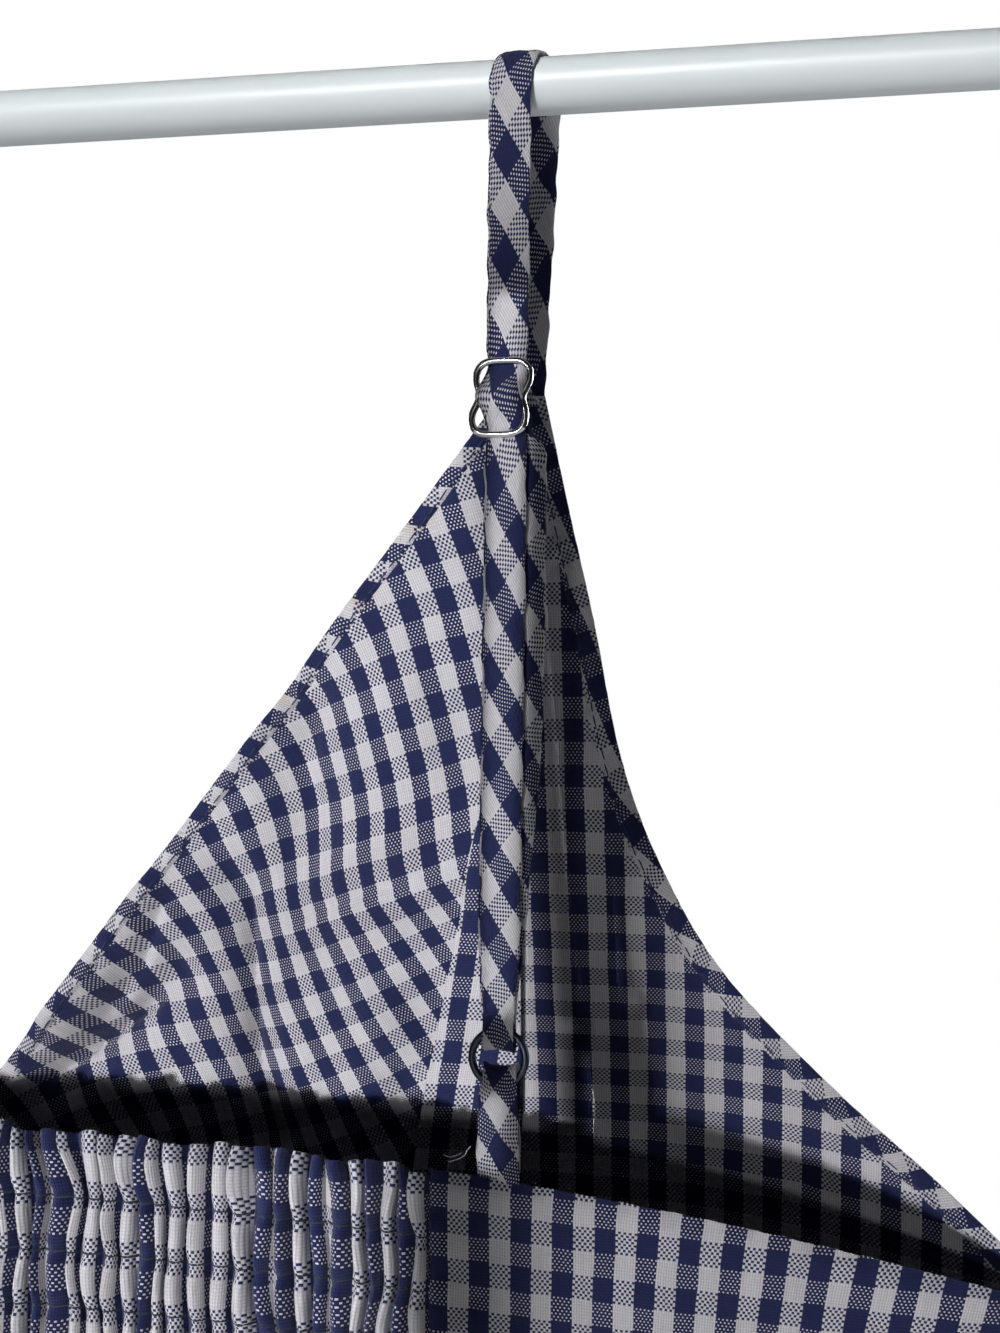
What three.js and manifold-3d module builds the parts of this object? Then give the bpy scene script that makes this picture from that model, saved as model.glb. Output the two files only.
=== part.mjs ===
// A gingham sundress that hangs by its straps over a plain white rod.
// Millimetres, +Z up. The origin is on the rod's axis, midway between the straps.
// +X is the wearer's right, +Y the front of the dress, -Y its back.
import * as THREE from 'three';
import { mergeVertices } from 'three/addons/utils/BufferGeometryUtils.js';
import Module from 'manifold-3d';

const wasm = await Module();
wasm.setup();

// Cloth
const WALL = 1.2;            // thickness of the cloth walls
const SEAM_GAP = 0.3;        // clear space between pieces that are sewn together
const HALF_GAP = SEAM_GAP / 2;
const SIDE_Y = 0.8;          // a wall's middle stands this far from the side seam's plane

// Rod
const ROD_RADIUS = 5.7;
const ROD_LENGTH = 520;

// Heights of the dress below the rod's axis
const APEX_Z = -60.4;        // top of each front cup, where the strap starts
const V_Z = -206.6;          // foot of the V neck
const SIDE_TOP_Z = -235.1;   // top of the side seam
const BACK_TOP_Z = -206.4;   // top edge of the back at its centre
const BUST_SEAM_Z = -300;    // seam between bodice and skirt
const HEM_Z = -860;

// Half widths
const APEX_IN = 119.6;       // inner corner of the cup's top
const APEX_OUT = 129;        // outer corner of the cup's top
const CUP_SEAM = 124.3;      // upright seam under the strap that joins the two front pieces
const CUP_SEAM_FOOT = 114;   // the same seam at the seam under the bust
const SHIRR_X = 111;         // seam between the gathered back and its flat side panel
const SIDE_X = 230;          // side seam at its top
const WAIST_X = 226;         // side seam at the seam under the bust
const HEM_X = 300;           // side seam at the hem

// Depth of the front and back away from the side seams' plane
const BACK_DEPTH = 17.5;
const HEM_FRONT_DEPTH = 48;
const HEM_BACK_DEPTH = 42;

// How far the front stands out, by height
const FRONT_DEPTH = [
  { z: -60, depth: 7.2 },
  { z: -90, depth: 11.5 },
  { z: -120, depth: 15.5 },
  { z: -150, depth: 20 },
  { z: -180, depth: 26 },
  { z: -210, depth: 31 },
  { z: -240, depth: 32 },
  { z: -300, depth: 28 },
];

// The share of that depth, from the centre of the front out to the side seam
const FRONT_ACROSS = [
  { x: 0, share: 0.76 },
  { x: 60, share: 0.93 },
  { x: 105, share: 1.0 },
  { x: 150, share: 0.88 },
  { x: 190, share: 0.62 },
  { x: 215, share: 0.32 },
  { x: 230, share: 0.0 },
];

// The edge of the front's armhole, from the cup's top to the side seam
const ARMHOLE = [
  { z: -60.4, x: 129 },
  { z: -83, x: 133.3 },
  { z: -106, x: 138 },
  { z: -133, x: 142.8 },
  { z: -154, x: 150 },
  { z: -177, x: 163 },
  { z: -200, x: 186 },
  { z: -217, x: 207.5 },
  { z: -235.1, x: 230 },
];

// Creases of the front, one row each: a line in x and z, with the soft width of the
// trough on each side of it; a minus depth is a ridge towards the inside of the dress
const FRONT_CREASES = [
  { x0: 112, z0: -155, x1: 72, z1: -168, width: 7, depth: -2.4 },
  { x0: 58, z0: -162, x1: 62, z1: -216, width: 6, depth: 3.4 },
  { x0: 75, z0: -122, x1: 70, z1: -176, width: 8, depth: 3.0 },
  { x0: 16, z0: -205, x1: 43, z1: -182, width: 6, depth: 4.6 },
  { x0: 15, z0: -190, x1: 37, z1: -165, width: 6, depth: -2.6 },
  { x0: 97, z0: -112, x1: 92, z1: -146, width: 11, depth: -2.2 },
  { x0: 88, z0: -184, x1: 84, z1: -226, width: 9, depth: -2.6 },
  { x0: 30, z0: -222, x1: 24, z1: -296, width: 8, depth: 3.2 },
  { x0: 104, z0: -226, x1: 98, z1: -298, width: 8, depth: 3.0 },
  { x0: 150, z0: -236, x1: 158, z1: -298, width: 10, depth: 2.4 },
  { x0: 190, z0: -240, x1: 186, z1: -296, width: 8, depth: -1.8 },
];

// The free edge of the strip that faces the cup's seam on the inside
const FACING_EDGE = [
  { z: -117, x: 119.4 },
  { z: -160, x: 109.3 },
  { z: -218, x: 95.6 },
  { z: -300, x: 86 },
];

// Gathers of the back: ridges raised on the outside of the wall
const SHIRR_RIDGES = 62;
const SHIRR_RISE = 1.5;

// Folds of the skirt
const FRONT_FOLDS = 9;
const BACK_FOLDS = 11;
const FOLD_RISE = 8;

// Strap and metal
const STRAP_WIDTH = 8.4;
const STRAP_WAIST = 4.8;     // the strap is squeezed to this width inside the ring
const STRAP_WALL = 1.2;
const STRAP_PINCH = 1.6;     // how much narrower the strap is inside the slider
const STRAP_ROD_R = ROD_RADIUS + SEAM_GAP + STRAP_WALL / 2;
const WIRE = 0.7;            // half the thickness of the slider's wire
const SLIDER_Z = -62.4;
const SLIDER_WIDTH = 11.3;   // between the middles of its wires
const SLIDER_HEIGHT = 14.3;
const SLIDER_CORNER = 3.4;
const SLIDER_WAIST = 1.3;    // how far its sides pinch in at the centre bar
const SLIDER_SKEW = 0.6;     // the upper loop leans out and the lower one in
const RING_RADIUS = 5.35;
const RING_WIRE = 0.75;
const RING_Y = -9.9;
const RING_Z = -190.8;
const TAB_FOOT_Z = -222;
const RING_BEND = 2.3;       // how deep the tape's bend reaches round the ring's wire

// Colours
const NAVY_CHECK = 0x6d6f8e;
const STRAP_CHECK = 0x5c5f84;
const WHITE_PLASTIC = 0xd9e0e3;
const BRIGHT_WIRE = 0xc9cacb;
const DARK_WIRE = 0x4a4f5c;

const dress = new THREE.Group();
const cloth = new THREE.MeshStandardMaterial({ color: NAVY_CHECK, roughness: 0.9 });
const tape = new THREE.MeshStandardMaterial({ color: STRAP_CHECK, roughness: 0.9 });
const plastic = new THREE.MeshStandardMaterial({ color: WHITE_PLASTIC, roughness: 0.35 });
const silver = new THREE.MeshStandardMaterial({ color: BRIGHT_WIRE, roughness: 0.25, metalness: 1 });
const gunmetal = new THREE.MeshStandardMaterial({ color: DARK_WIRE, roughness: 0.35, metalness: 1 });

// Adds one piece of the dress under its name
function addPiece(name, geometry, material) {
  const mesh = new THREE.Mesh(geometry, material);
  mesh.name = name;
  dress.add(mesh);
}

// 0 before a, 1 after b, smooth between them
function smoothStep(a, b, value) {
  const t = Math.min(1, Math.max(0, (value - a) / (b - a)));
  return t * t * (3 - 2 * t);
}

// Reads a short table with a smooth curve through its rows; the key column may rise or fall
function readTable(rows, key, column, value) {
  const rising = rows[rows.length - 1][key] > rows[0][key];
  const reached = (row) => (rising ? row[key] >= value : row[key] <= value);
  let after = rows.findIndex(reached);
  if (after < 0) after = rows.length - 1;
  if (after === 0) return rows[0][column];
  const slope = (i) => {
    const lo = rows[Math.max(0, i - 1)];
    const hi = rows[Math.min(rows.length - 1, i + 1)];
    return (hi[column] - lo[column]) / (hi[key] - lo[key]);
  };
  const a = rows[after - 1];
  const b = rows[after];
  const span = b[key] - a[key];
  const t = Math.min(1, Math.max(0, (value - a[key]) / span));
  const rise = 3 * t * t - 2 * t * t * t;
  return a[column] * (1 - rise) + b[column] * rise
    + span * slope(after - 1) * t * (1 - t) * (1 - t)
    - span * slope(after) * t * t * (1 - t);
}

// A closed wall about a middle surface at(u, v); facing is +1 where its outside looks
// to the front of the dress and -1 where it looks to the back
function clothWall({ at, columns, rows, facing, relief = () => 0 }) {
  const step = 1e-3;
  const outer = [];
  const inner = [];
  let turned = false;
  for (let r = 0; r <= rows; r += 1) {
    for (let c = 0; c <= columns; c += 1) {
      const u = c / columns;
      const v = r / rows;
      const along = at(Math.min(1, u + step), v).sub(at(Math.max(0, u - step), v));
      const down = at(u, Math.min(1, v + step)).sub(at(u, Math.max(0, v - step)));
      const normal = along.cross(down).normalize();
      turned = normal.y * facing < 0;
      if (turned) normal.negate();
      const middle = at(u, v);
      outer.push(middle.clone().addScaledVector(normal, WALL / 2 + relief(u, v)));
      inner.push(middle.clone().addScaledVector(normal, -WALL / 2));
    }
  }
  const width = columns + 1;
  const back = outer.length;
  const index = [];
  const quad = (a, b, c, d) => index.push(a, b, c, a, c, d);
  for (let r = 0; r < rows; r += 1) {
    for (let c = 0; c < columns; c += 1) {
      const a = r * width + c;
      quad(a, a + 1, a + 1 + width, a + width);
      quad(back + a, back + a + width, back + a + width + 1, back + a + 1);
    }
  }
  const last = rows * width;
  for (let c = 0; c < columns; c += 1) {
    quad(c + 1, c, back + c, back + c + 1);
    quad(last + c, last + c + 1, back + last + c + 1, back + last + c);
  }
  for (let r = 0; r < rows; r += 1) {
    const a = r * width;
    const b = a + columns;
    quad(a, a + width, back + a + width, back + a);
    quad(b + width, b, back + b, back + b + width);
  }
  if (turned) {
    for (let i = 0; i < index.length; i += 3) {
      [index[i + 1], index[i + 2]] = [index[i + 2], index[i + 1]];
    }
  }
  return closedGeometry([...outer, ...inner], index);
}

// A geometry from points and an index
function closedGeometry(points, index) {
  const geometry = new THREE.BufferGeometry();
  geometry.setAttribute('position', new THREE.Float32BufferAttribute(points.flatMap((p) => [p.x, p.y, p.z]), 3));
  geometry.setIndex(index);
  geometry.computeVertexNormals();
  return geometry;
}

// A flat tape of a given width along X that follows a list of middle points
function tapeAlong(path, side) {
  const corners = [];
  path.forEach((spot, i) => {
    const before = path[Math.max(0, i - 1)];
    const after = path[Math.min(path.length - 1, i + 1)];
    const forward = new THREE.Vector3(0, after.y - before.y, after.z - before.z).normalize();
    const across = new THREE.Vector3(0, -forward.z, forward.y);
    for (const [wide, thick] of [[-1, -1], [1, -1], [1, 1], [-1, 1]]) {
      const corner = new THREE.Vector3(side * (spot.x + wide * spot.width / 2), spot.y, spot.z);
      corners.push(corner.addScaledVector(across, thick * STRAP_WALL / 2));
    }
  });
  const index = [];
  const quad = (a, b, c, d) => index.push(a, b, c, a, c, d);
  for (let i = 0; i < path.length - 1; i += 1) {
    for (let k = 0; k < 4; k += 1) {
      const a = i * 4 + k;
      const b = i * 4 + ((k + 1) % 4);
      quad(a, b, b + 4, a + 4);
    }
  }
  const end = (path.length - 1) * 4;
  quad(3, 2, 1, 0);
  quad(end, end + 1, end + 2, end + 3);
  if (side > 0) {
    for (let i = 0; i < index.length; i += 3) {
      [index[i + 1], index[i + 2]] = [index[i + 2], index[i + 1]];
    }
  }
  return closedGeometry(corners, index);
}

// Joins two closed geometries into one body
function joined(first, second) {
  const solid = (geometry) => {
    const bare = geometry.clone();
    bare.deleteAttribute('normal');
    bare.deleteAttribute('uv');
    const merged = mergeVertices(bare, 1e-4);
    return new wasm.Manifold(new wasm.Mesh({
      numProp: 3,
      vertProperties: Float32Array.from(merged.attributes.position.array),
      triVerts: Uint32Array.from(merged.index.array),
    }));
  };
  const mesh = solid(first).add(solid(second)).getMesh();
  const geometry = new THREE.BufferGeometry();
  geometry.setAttribute('position', new THREE.BufferAttribute(Float32Array.from(mesh.vertProperties), 3));
  geometry.setIndex(new THREE.BufferAttribute(Uint32Array.from(mesh.triVerts), 1));
  geometry.computeVertexNormals();
  return geometry;
}

// Half width of the bodice at a height below the side seam's top
function bodiceHalfWidth(z) {
  return THREE.MathUtils.mapLinear(Math.min(z, SIDE_TOP_Z), SIDE_TOP_Z, BUST_SEAM_Z, SIDE_X, WAIST_X);
}

// How far a crease table moves a point of the front
function creaseDepth(x, z) {
  let depth = 0;
  for (const fold of FRONT_CREASES) {
    const dx = fold.x1 - fold.x0;
    const dz = fold.z1 - fold.z0;
    const along = ((x - fold.x0) * dx + (z - fold.z0) * dz) / (dx * dx + dz * dz);
    const t = Math.min(1, Math.max(0, along));
    const away = Math.hypot(x - fold.x0 - t * dx, z - fold.z0 - t * dz) / fold.width;
    depth += fold.depth * Math.exp(-away * away);
  }
  return depth;
}

// The front's middle surface, x measured from the centre towards either side
function frontY(x, z) {
  const scaled = x * SIDE_X / bodiceHalfWidth(z);
  const share = readTable(FRONT_ACROSS, 'x', 'share', scaled);
  const nearSide = 1 - smoothStep(205, 224, scaled);
  const nearApex = smoothStep(APEX_Z, APEX_Z - 40, z);
  return SIDE_Y + readTable(FRONT_DEPTH, 'z', 'depth', z) * share + creaseDepth(x, z) * nearSide * nearApex;
}

// The back's middle surface
function backY(x, z) {
  const share = Math.max(0, 1 - (x / bodiceHalfWidth(z)) ** 2) ** 0.8;
  return -(SIDE_Y + BACK_DEPTH * share);
}

// Height of the back's top edge
function backTopZ(x) {
  return BACK_TOP_Z - (BACK_TOP_Z - SIDE_TOP_Z) * (x / SIDE_X) ** 2.2;
}

// The neckline runs straight from the cup's top to the foot of the V
function neckX(z) {
  return Math.max(HALF_GAP, THREE.MathUtils.mapLinear(z, V_Z, APEX_Z, HALF_GAP, APEX_IN));
}

function cupSeamX(z) {
  return THREE.MathUtils.mapLinear(z, APEX_Z, BUST_SEAM_Z, CUP_SEAM, CUP_SEAM_FOOT);
}

function armholeX(z) {
  return z > SIDE_TOP_Z ? readTable(ARMHOLE, 'z', 'x', z) : bodiceHalfWidth(z);
}

// A front piece between two edges that are given by height
function frontPiece(side, leftEdge, rightEdge) {
  return (u, v) => {
    const z = THREE.MathUtils.lerp(APEX_Z, BUST_SEAM_Z + HALF_GAP, v);
    const x = THREE.MathUtils.lerp(leftEdge(z), rightEdge(z), u);
    return new THREE.Vector3(side * x, frontY(x, z), z);
  };
}

// The strip that faces the cup's seam, one layer inside the front
function facingPiece(side) {
  const top = FACING_EDGE[0].z;
  return (u, v) => {
    const z = THREE.MathUtils.lerp(top, BUST_SEAM_Z + HALF_GAP, v);
    const x = THREE.MathUtils.lerp(readTable(FACING_EDGE, 'z', 'x', z), cupSeamX(z) + 1, u);
    return new THREE.Vector3(side * x, frontY(x, z) - WALL - 2 * SEAM_GAP, z);
  };
}

// A back piece between two upright seams
function backPiece(side, fromX, toX) {
  return (u, v) => {
    const spread = THREE.MathUtils.lerp(fromX, toX, u);
    const top = backTopZ(Math.abs(spread));
    const z = THREE.MathUtils.lerp(top, BUST_SEAM_Z + HALF_GAP, v);
    const atSide = Math.abs(spread) / SIDE_X;
    const x = spread * THREE.MathUtils.lerp(1, bodiceHalfWidth(z) / SIDE_X, atSide);
    return new THREE.Vector3(side * x, backY(x, z), z);
  };
}

// The skirt: it starts on the bodice's line and falls in soft folds to a wider hem
function skirtPiece(facing, folds, hemDepth, bodiceY) {
  return (u, v) => {
    const across = 2 * u - 1;
    const fall = v ** 0.9;
    const half = THREE.MathUtils.lerp(WAIST_X, HEM_X, fall);
    const z = THREE.MathUtils.lerp(BUST_SEAM_Z - HALF_GAP, HEM_Z, v);
    const waistY = bodiceY(Math.abs(across) * WAIST_X, BUST_SEAM_Z);
    const hemY = facing * (SIDE_Y + hemDepth * Math.max(0, 1 - Math.abs(across) ** 2.2) ** 0.8);
    const turn = folds * Math.PI * (across + 0.05 * Math.sin(5 * across + facing));
    const uneven = 0.78 + 0.22 * Math.sin(9 * across + 2 * facing);
    const edge = 1 - smoothStep(0.8, 0.97, Math.abs(across));
    const rise = FOLD_RISE * Math.min(1, 1.15 * v ** 0.7) * uneven * edge;
    const plainY = THREE.MathUtils.lerp(waistY, hemY, smoothStep(0, 1, fall));
    const foldY = facing * rise * Math.cos(turn) * smoothStep(0, 0.08, v);
    return new THREE.Vector3(across * half, plainY + foldY, z);
  };
}

// Rod
const rod = new THREE.CylinderGeometry(ROD_RADIUS, ROD_RADIUS, ROD_LENGTH, 32);
rod.rotateZ(Math.PI / 2);
addPiece('rod', rod, plastic);

// Middle line between the strap's two runs, from the slider down to the ring
function runMiddleY(z) {
  return THREE.MathUtils.mapLinear(z, SLIDER_Z, RING_Z + RING_RADIUS, -6.75, RING_Y);
}

// Half the distance between the two runs; they open round the ring's wire
function runSpread(z) {
  const ringTop = RING_Z + RING_RADIUS;
  const closed = STRAP_WALL / 2 + 0.18;
  const open = RING_WIRE + SEAM_GAP + STRAP_WALL / 2;
  return THREE.MathUtils.lerp(closed, open, 1 - smoothStep(ringTop + 1, ringTop + 9, z));
}

// The strap narrows inside the slider and towards the ring
function strapWidth(z) {
  const pinch = STRAP_PINCH * Math.exp(-(((z - SLIDER_Z) / 5) ** 2));
  return THREE.MathUtils.lerp(STRAP_WAIST, STRAP_WIDTH - pinch, smoothStep(RING_Z + 6, RING_Z + 24, z));
}

// The strap leans a little on its way down
function strapX(z) {
  return THREE.MathUtils.mapLinear(z, 0, RING_Z, 125.8, 123.7);
}

const frontRunTopY = runMiddleY(SLIDER_Z) - STRAP_WALL / 2 - 0.18;
const sliderY = frontRunTopY - STRAP_WALL / 2 - SEAM_GAP - WIRE;

// The run nearer the back's outside: from the rod, over the slider's bar, to the ring
function nearRunY(z) {
  const bump = 2 * (WIRE + SEAM_GAP + STRAP_WALL / 2) * Math.exp(-(((z - SLIDER_Z) / 3.4) ** 2));
  const straight = z > SLIDER_Z
    ? THREE.MathUtils.mapLinear(z, 0, SLIDER_Z, -STRAP_ROD_R, frontRunTopY)
    : runMiddleY(z) - runSpread(z);
  return straight - bump;
}

// The whole strap: cup, rod, slider, ring and back up to the slider's bar
function strapPath() {
  const path = [];
  const put = (x, y, z, width) => path.push({ x, y, z, width });
  const cupY = frontY((APEX_IN + APEX_OUT) / 2, APEX_Z);
  const farSteps = 6;
  for (let i = 0; i < farSteps; i += 1) {
    const t = i / farSteps;
    const z = THREE.MathUtils.lerp(APEX_Z + SEAM_GAP, 0, t);
    put(THREE.MathUtils.lerp(124.6, 127.8, t), THREE.MathUtils.lerp(cupY, STRAP_ROD_R, t), z, STRAP_WIDTH);
  }
  const overSteps = 10;
  for (let i = 0; i <= overSteps; i += 1) {
    const angle = Math.PI * i / overSteps;
    const x = THREE.MathUtils.lerp(127.8, strapX(0), i / overSteps);
    put(x, STRAP_ROD_R * Math.cos(angle), STRAP_ROD_R * Math.sin(angle), STRAP_WIDTH);
  }
  const ringTop = RING_Z + RING_RADIUS;
  const nearHeights = [
    -20, -40, -52, -55, -57, -59, -60.7, SLIDER_Z, -64.1, -66, -68, -70, -74,
    -95, -125, -155, -172, -176, -180, -184,
  ];
  for (const z of nearHeights) put(strapX(z), nearRunY(z), z, strapWidth(z));
  const open = runSpread(ringTop);
  const bightSteps = 8;
  for (let i = 0; i <= bightSteps; i += 1) {
    const angle = Math.PI * i / bightSteps;
    put(strapX(RING_Z), RING_Y - open * Math.cos(angle), ringTop - RING_BEND * Math.sin(angle), STRAP_WAIST);
  }
  const farHeights = [-184, -180, -176, -172, -155, -125, -95, -74, -69];
  for (const z of farHeights) put(strapX(z), runMiddleY(z) + runSpread(z), z, strapWidth(z));
  const barBack = sliderY + WIRE + SEAM_GAP + STRAP_WALL / 2;
  put(strapX(SLIDER_Z), barBack + 0.4, SLIDER_Z - 2.4, strapWidth(SLIDER_Z));
  put(strapX(SLIDER_Z), barBack, SLIDER_Z, strapWidth(SLIDER_Z));
  return path;
}

// The tab: from inside the back's edge, up through the ring and down again
function tabPath() {
  const path = [];
  const x = strapX(RING_Z) + 0.4;
  const ringFoot = RING_Z - RING_RADIUS;
  const open = RING_WIRE + SEAM_GAP + STRAP_WALL / 2;
  const panelInside = backY(x, -215) + WALL / 2 + SEAM_GAP + STRAP_WALL / 2;
  const put = (y, z, width) => path.push({ x, y, z, width });
  put(panelInside, TAB_FOOT_Z, STRAP_WIDTH);
  put(panelInside, -209, STRAP_WIDTH);
  put(RING_Y - open - 0.3, -201, STRAP_WAIST + 1.2);
  const steps = 8;
  for (let i = 0; i <= steps; i += 1) {
    const angle = Math.PI * i / steps;
    put(RING_Y - open * Math.cos(angle), ringFoot + RING_BEND * Math.sin(angle), STRAP_WAIST);
  }
  put(RING_Y + open - 0.3, -201, STRAP_WAIST + 1.2);
  put(panelInside + STRAP_WALL + SEAM_GAP, -209, STRAP_WIDTH);
  put(panelInside + STRAP_WALL + SEAM_GAP, TAB_FOOT_Z, STRAP_WIDTH);
  return path;
}

// The slider's outline: a rounded rectangle whose sides pinch in at the centre bar
function sliderOutline() {
  const points = [];
  const steps = 40;
  const power = 4;
  for (let i = 0; i < steps; i += 1) {
    const angle = 2 * Math.PI * (i + 0.5) / steps;
    const c = Math.cos(angle);
    const s = Math.sin(angle);
    const reach = (Math.abs(c) ** power + Math.abs(s) ** power) ** (-1 / power);
    const z = SLIDER_HEIGHT / 2 * s * reach;
    const pinch = SLIDER_WAIST * Math.exp(-((z / (SLIDER_CORNER * 0.75)) ** 2));
    const x = (SLIDER_WIDTH / 2 - pinch) * c * reach + SLIDER_SKEW * Math.sin(Math.PI * z / SLIDER_HEIGHT);
    points.push(new THREE.Vector3(x, 0, z));
  }
  return points;
}

// A round wire of six sides along a closed outline in the XZ plane
function closedWire(points, radius) {
  const sides = 6;
  const ring = [];
  points.forEach((point, i) => {
    const before = points[(i + points.length - 1) % points.length];
    const after = points[(i + 1) % points.length];
    const forward = after.clone().sub(before).normalize();
    const across = new THREE.Vector3(forward.z, 0, -forward.x);
    for (let k = 0; k < sides; k += 1) {
      const angle = 2 * Math.PI * k / sides;
      const spot = point.clone().addScaledVector(across, radius * Math.cos(angle));
      spot.y += radius * Math.sin(angle);
      ring.push(spot);
    }
  });
  const index = [];
  for (let i = 0; i < points.length; i += 1) {
    for (let k = 0; k < sides; k += 1) {
      const next = (i + 1) % points.length;
      const a = i * sides + k;
      const b = i * sides + ((k + 1) % sides);
      const c = next * sides + ((k + 1) % sides);
      const d = next * sides + k;
      index.push(a, b, c, a, c, d);
    }
  }
  return closedGeometry(ring, index);
}

function sliderGeometry(side) {
  const frame = closedWire(sliderOutline(), WIRE);
  const bar = new THREE.CylinderGeometry(WIRE, WIRE, SLIDER_WIDTH - 2 * SLIDER_WAIST, 8);
  bar.rotateZ(Math.PI / 2);
  const slider = joined(frame, bar);
  if (side < 0) slider.rotateZ(Math.PI);
  return slider;
}

for (const [label, side] of [['right', 1], ['left', -1]]) {
  addPiece(`strap_${label}`, tapeAlong(strapPath(), side), tape);
  addPiece(`ring_tab_${label}`, tapeAlong(tabPath(), side), tape);

  const slider = sliderGeometry(side);
  slider.translate(side * strapX(SLIDER_Z), sliderY, SLIDER_Z);
  addPiece(`slider_${label}`, slider, silver);

  const ring = new THREE.TorusGeometry(RING_RADIUS, RING_WIRE, 8, 24);
  ring.rotateX(Math.PI / 2);
  ring.translate(side * strapX(RING_Z), RING_Y, RING_Z);
  addPiece(`ring_${label}`, ring, gunmetal);

  const innerFront = frontPiece(side, neckX, (z) => cupSeamX(z) - HALF_GAP);
  addPiece(`front_inner_${label}`, clothWall({ at: innerFront, columns: 18, rows: 20, facing: 1 }), cloth);

  const sideFront = frontPiece(side, (z) => cupSeamX(z) + HALF_GAP, armholeX);
  addPiece(`front_side_${label}`, clothWall({ at: sideFront, columns: 10, rows: 16, facing: 1 }), cloth);

  addPiece(`front_facing_${label}`, clothWall({ at: facingPiece(side), columns: 4, rows: 18, facing: 1 }), cloth);

  const sideBack = backPiece(side, SHIRR_X + HALF_GAP, SIDE_X);
  addPiece(`back_side_${label}`, clothWall({ at: sideBack, columns: 12, rows: 4, facing: -1 }), cloth);
}

// Gathered centre back
const centreBack = backPiece(1, -SHIRR_X + HALF_GAP, SHIRR_X - HALF_GAP);
const ridge = (u) => SHIRR_RISE * (Math.round(u * SHIRR_RIDGES * 2) % 2);
addPiece('back_shirred', clothWall({
  at: centreBack, columns: SHIRR_RIDGES * 2, rows: 4, facing: -1, relief: ridge,
}), cloth);

// Skirt
const frontSkirt = skirtPiece(1, FRONT_FOLDS, HEM_FRONT_DEPTH, frontY);
addPiece('skirt_front', clothWall({ at: frontSkirt, columns: 54, rows: 7, facing: 1 }), cloth);
const backSkirt = skirtPiece(-1, BACK_FOLDS, HEM_BACK_DEPTH, backY);
addPiece('skirt_back', clothWall({ at: backSkirt, columns: 60, rows: 7, facing: -1 }), cloth);

export default dress;
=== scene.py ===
# A gingham sundress seen from behind, hanging by its straps over a white rod.
# Sizes are in millimetres in the functions below and turned to metres as meshes are made.
import math

import bpy
import numpy as np
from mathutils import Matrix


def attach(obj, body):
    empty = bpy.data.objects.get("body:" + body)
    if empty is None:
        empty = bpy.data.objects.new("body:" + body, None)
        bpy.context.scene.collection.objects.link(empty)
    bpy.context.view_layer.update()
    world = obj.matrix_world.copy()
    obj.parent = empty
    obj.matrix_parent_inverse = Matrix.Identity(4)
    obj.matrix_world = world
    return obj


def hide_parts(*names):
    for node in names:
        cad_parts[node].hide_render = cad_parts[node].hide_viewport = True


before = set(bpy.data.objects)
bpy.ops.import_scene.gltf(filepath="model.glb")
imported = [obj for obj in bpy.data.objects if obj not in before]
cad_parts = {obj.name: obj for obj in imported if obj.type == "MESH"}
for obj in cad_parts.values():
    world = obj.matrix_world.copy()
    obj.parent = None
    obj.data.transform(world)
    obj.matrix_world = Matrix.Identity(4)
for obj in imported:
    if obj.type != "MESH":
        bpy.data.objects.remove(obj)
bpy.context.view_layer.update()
MM = 0.001

# Sizes that the solids share
WALL = 1.2
SIDE_Y = 0.8
SEAM_GAP = 0.3
HALF_GAP = SEAM_GAP / 2
ROD_RADIUS = 5.7
ROD_LENGTH = 520
APEX_Z = -60.4
V_Z = -206.6
SIDE_TOP_Z = -235.1
BACK_TOP_Z = -206.4
BUST_SEAM_Z = -300
HEM_Z = -860
APEX_IN = 119.6
APEX_OUT = 129
CUP_SEAM = 124.3
CUP_SEAM_FOOT = 114
SHIRR_X = 111
SIDE_X = 230
WAIST_X = 226
HEM_X = 300
BACK_DEPTH = 17.5
HEM_FRONT_DEPTH = 48
HEM_BACK_DEPTH = 42
STRAP_WIDTH = 8.4
STRAP_WALL = 1.2
RING_RADIUS = 5.35
RING_WIRE = 0.75
RING_Y = -9.9
RING_Z = -190.8
SLIDER_Z = -62.4
WIRE = 0.7

# Sizes of what is only in this scene
CLOTH = 0.34            # thickness of the woven cloth
CHECK = 8.15            # one repeat of the check, a navy and a white stripe
YARNS = 16              # yarns in one repeat
TAPE_YARNS = 20         # the same on the straps, which are cut on the bias and drawn thin
FINER_NAVY = 4          # how many more there are in a repeat of the finer navy long yarns
HEM_WIDTH = 3.3         # the turned hem of the neckline
ARM_HEM = 4.6           # the turned hem of the armhole
STITCH_RISE = 0.26      # how proud of the hem its stitches lie


def table(columns, *rows):
    """A short table whose columns are named once, as one dictionary a row."""
    return [dict(zip(columns.split(), row)) for row in rows]


FRONT_DEPTH = table(
    "z depth",
    (-60, 7.2), (-90, 11.5), (-120, 15.5), (-150, 20), (-180, 26),
    (-210, 31), (-240, 32), (-300, 28),
)

FRONT_ACROSS = table(
    "x share",
    (0, 0.76), (60, 0.93), (105, 1.0), (150, 0.88), (190, 0.62),
    (215, 0.32), (230, 0.0),
)

ARMHOLE = table(
    "z x",
    (-60.4, 129), (-83, 133.3), (-106, 138), (-133, 142.8), (-154, 150),
    (-177, 163), (-200, 186), (-217, 207.5), (-235.1, 230),
)

FACING_EDGE = table(
    "z x",
    (-117, 119.4), (-160, 109.3), (-218, 95.6), (-300, 86),
)

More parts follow.
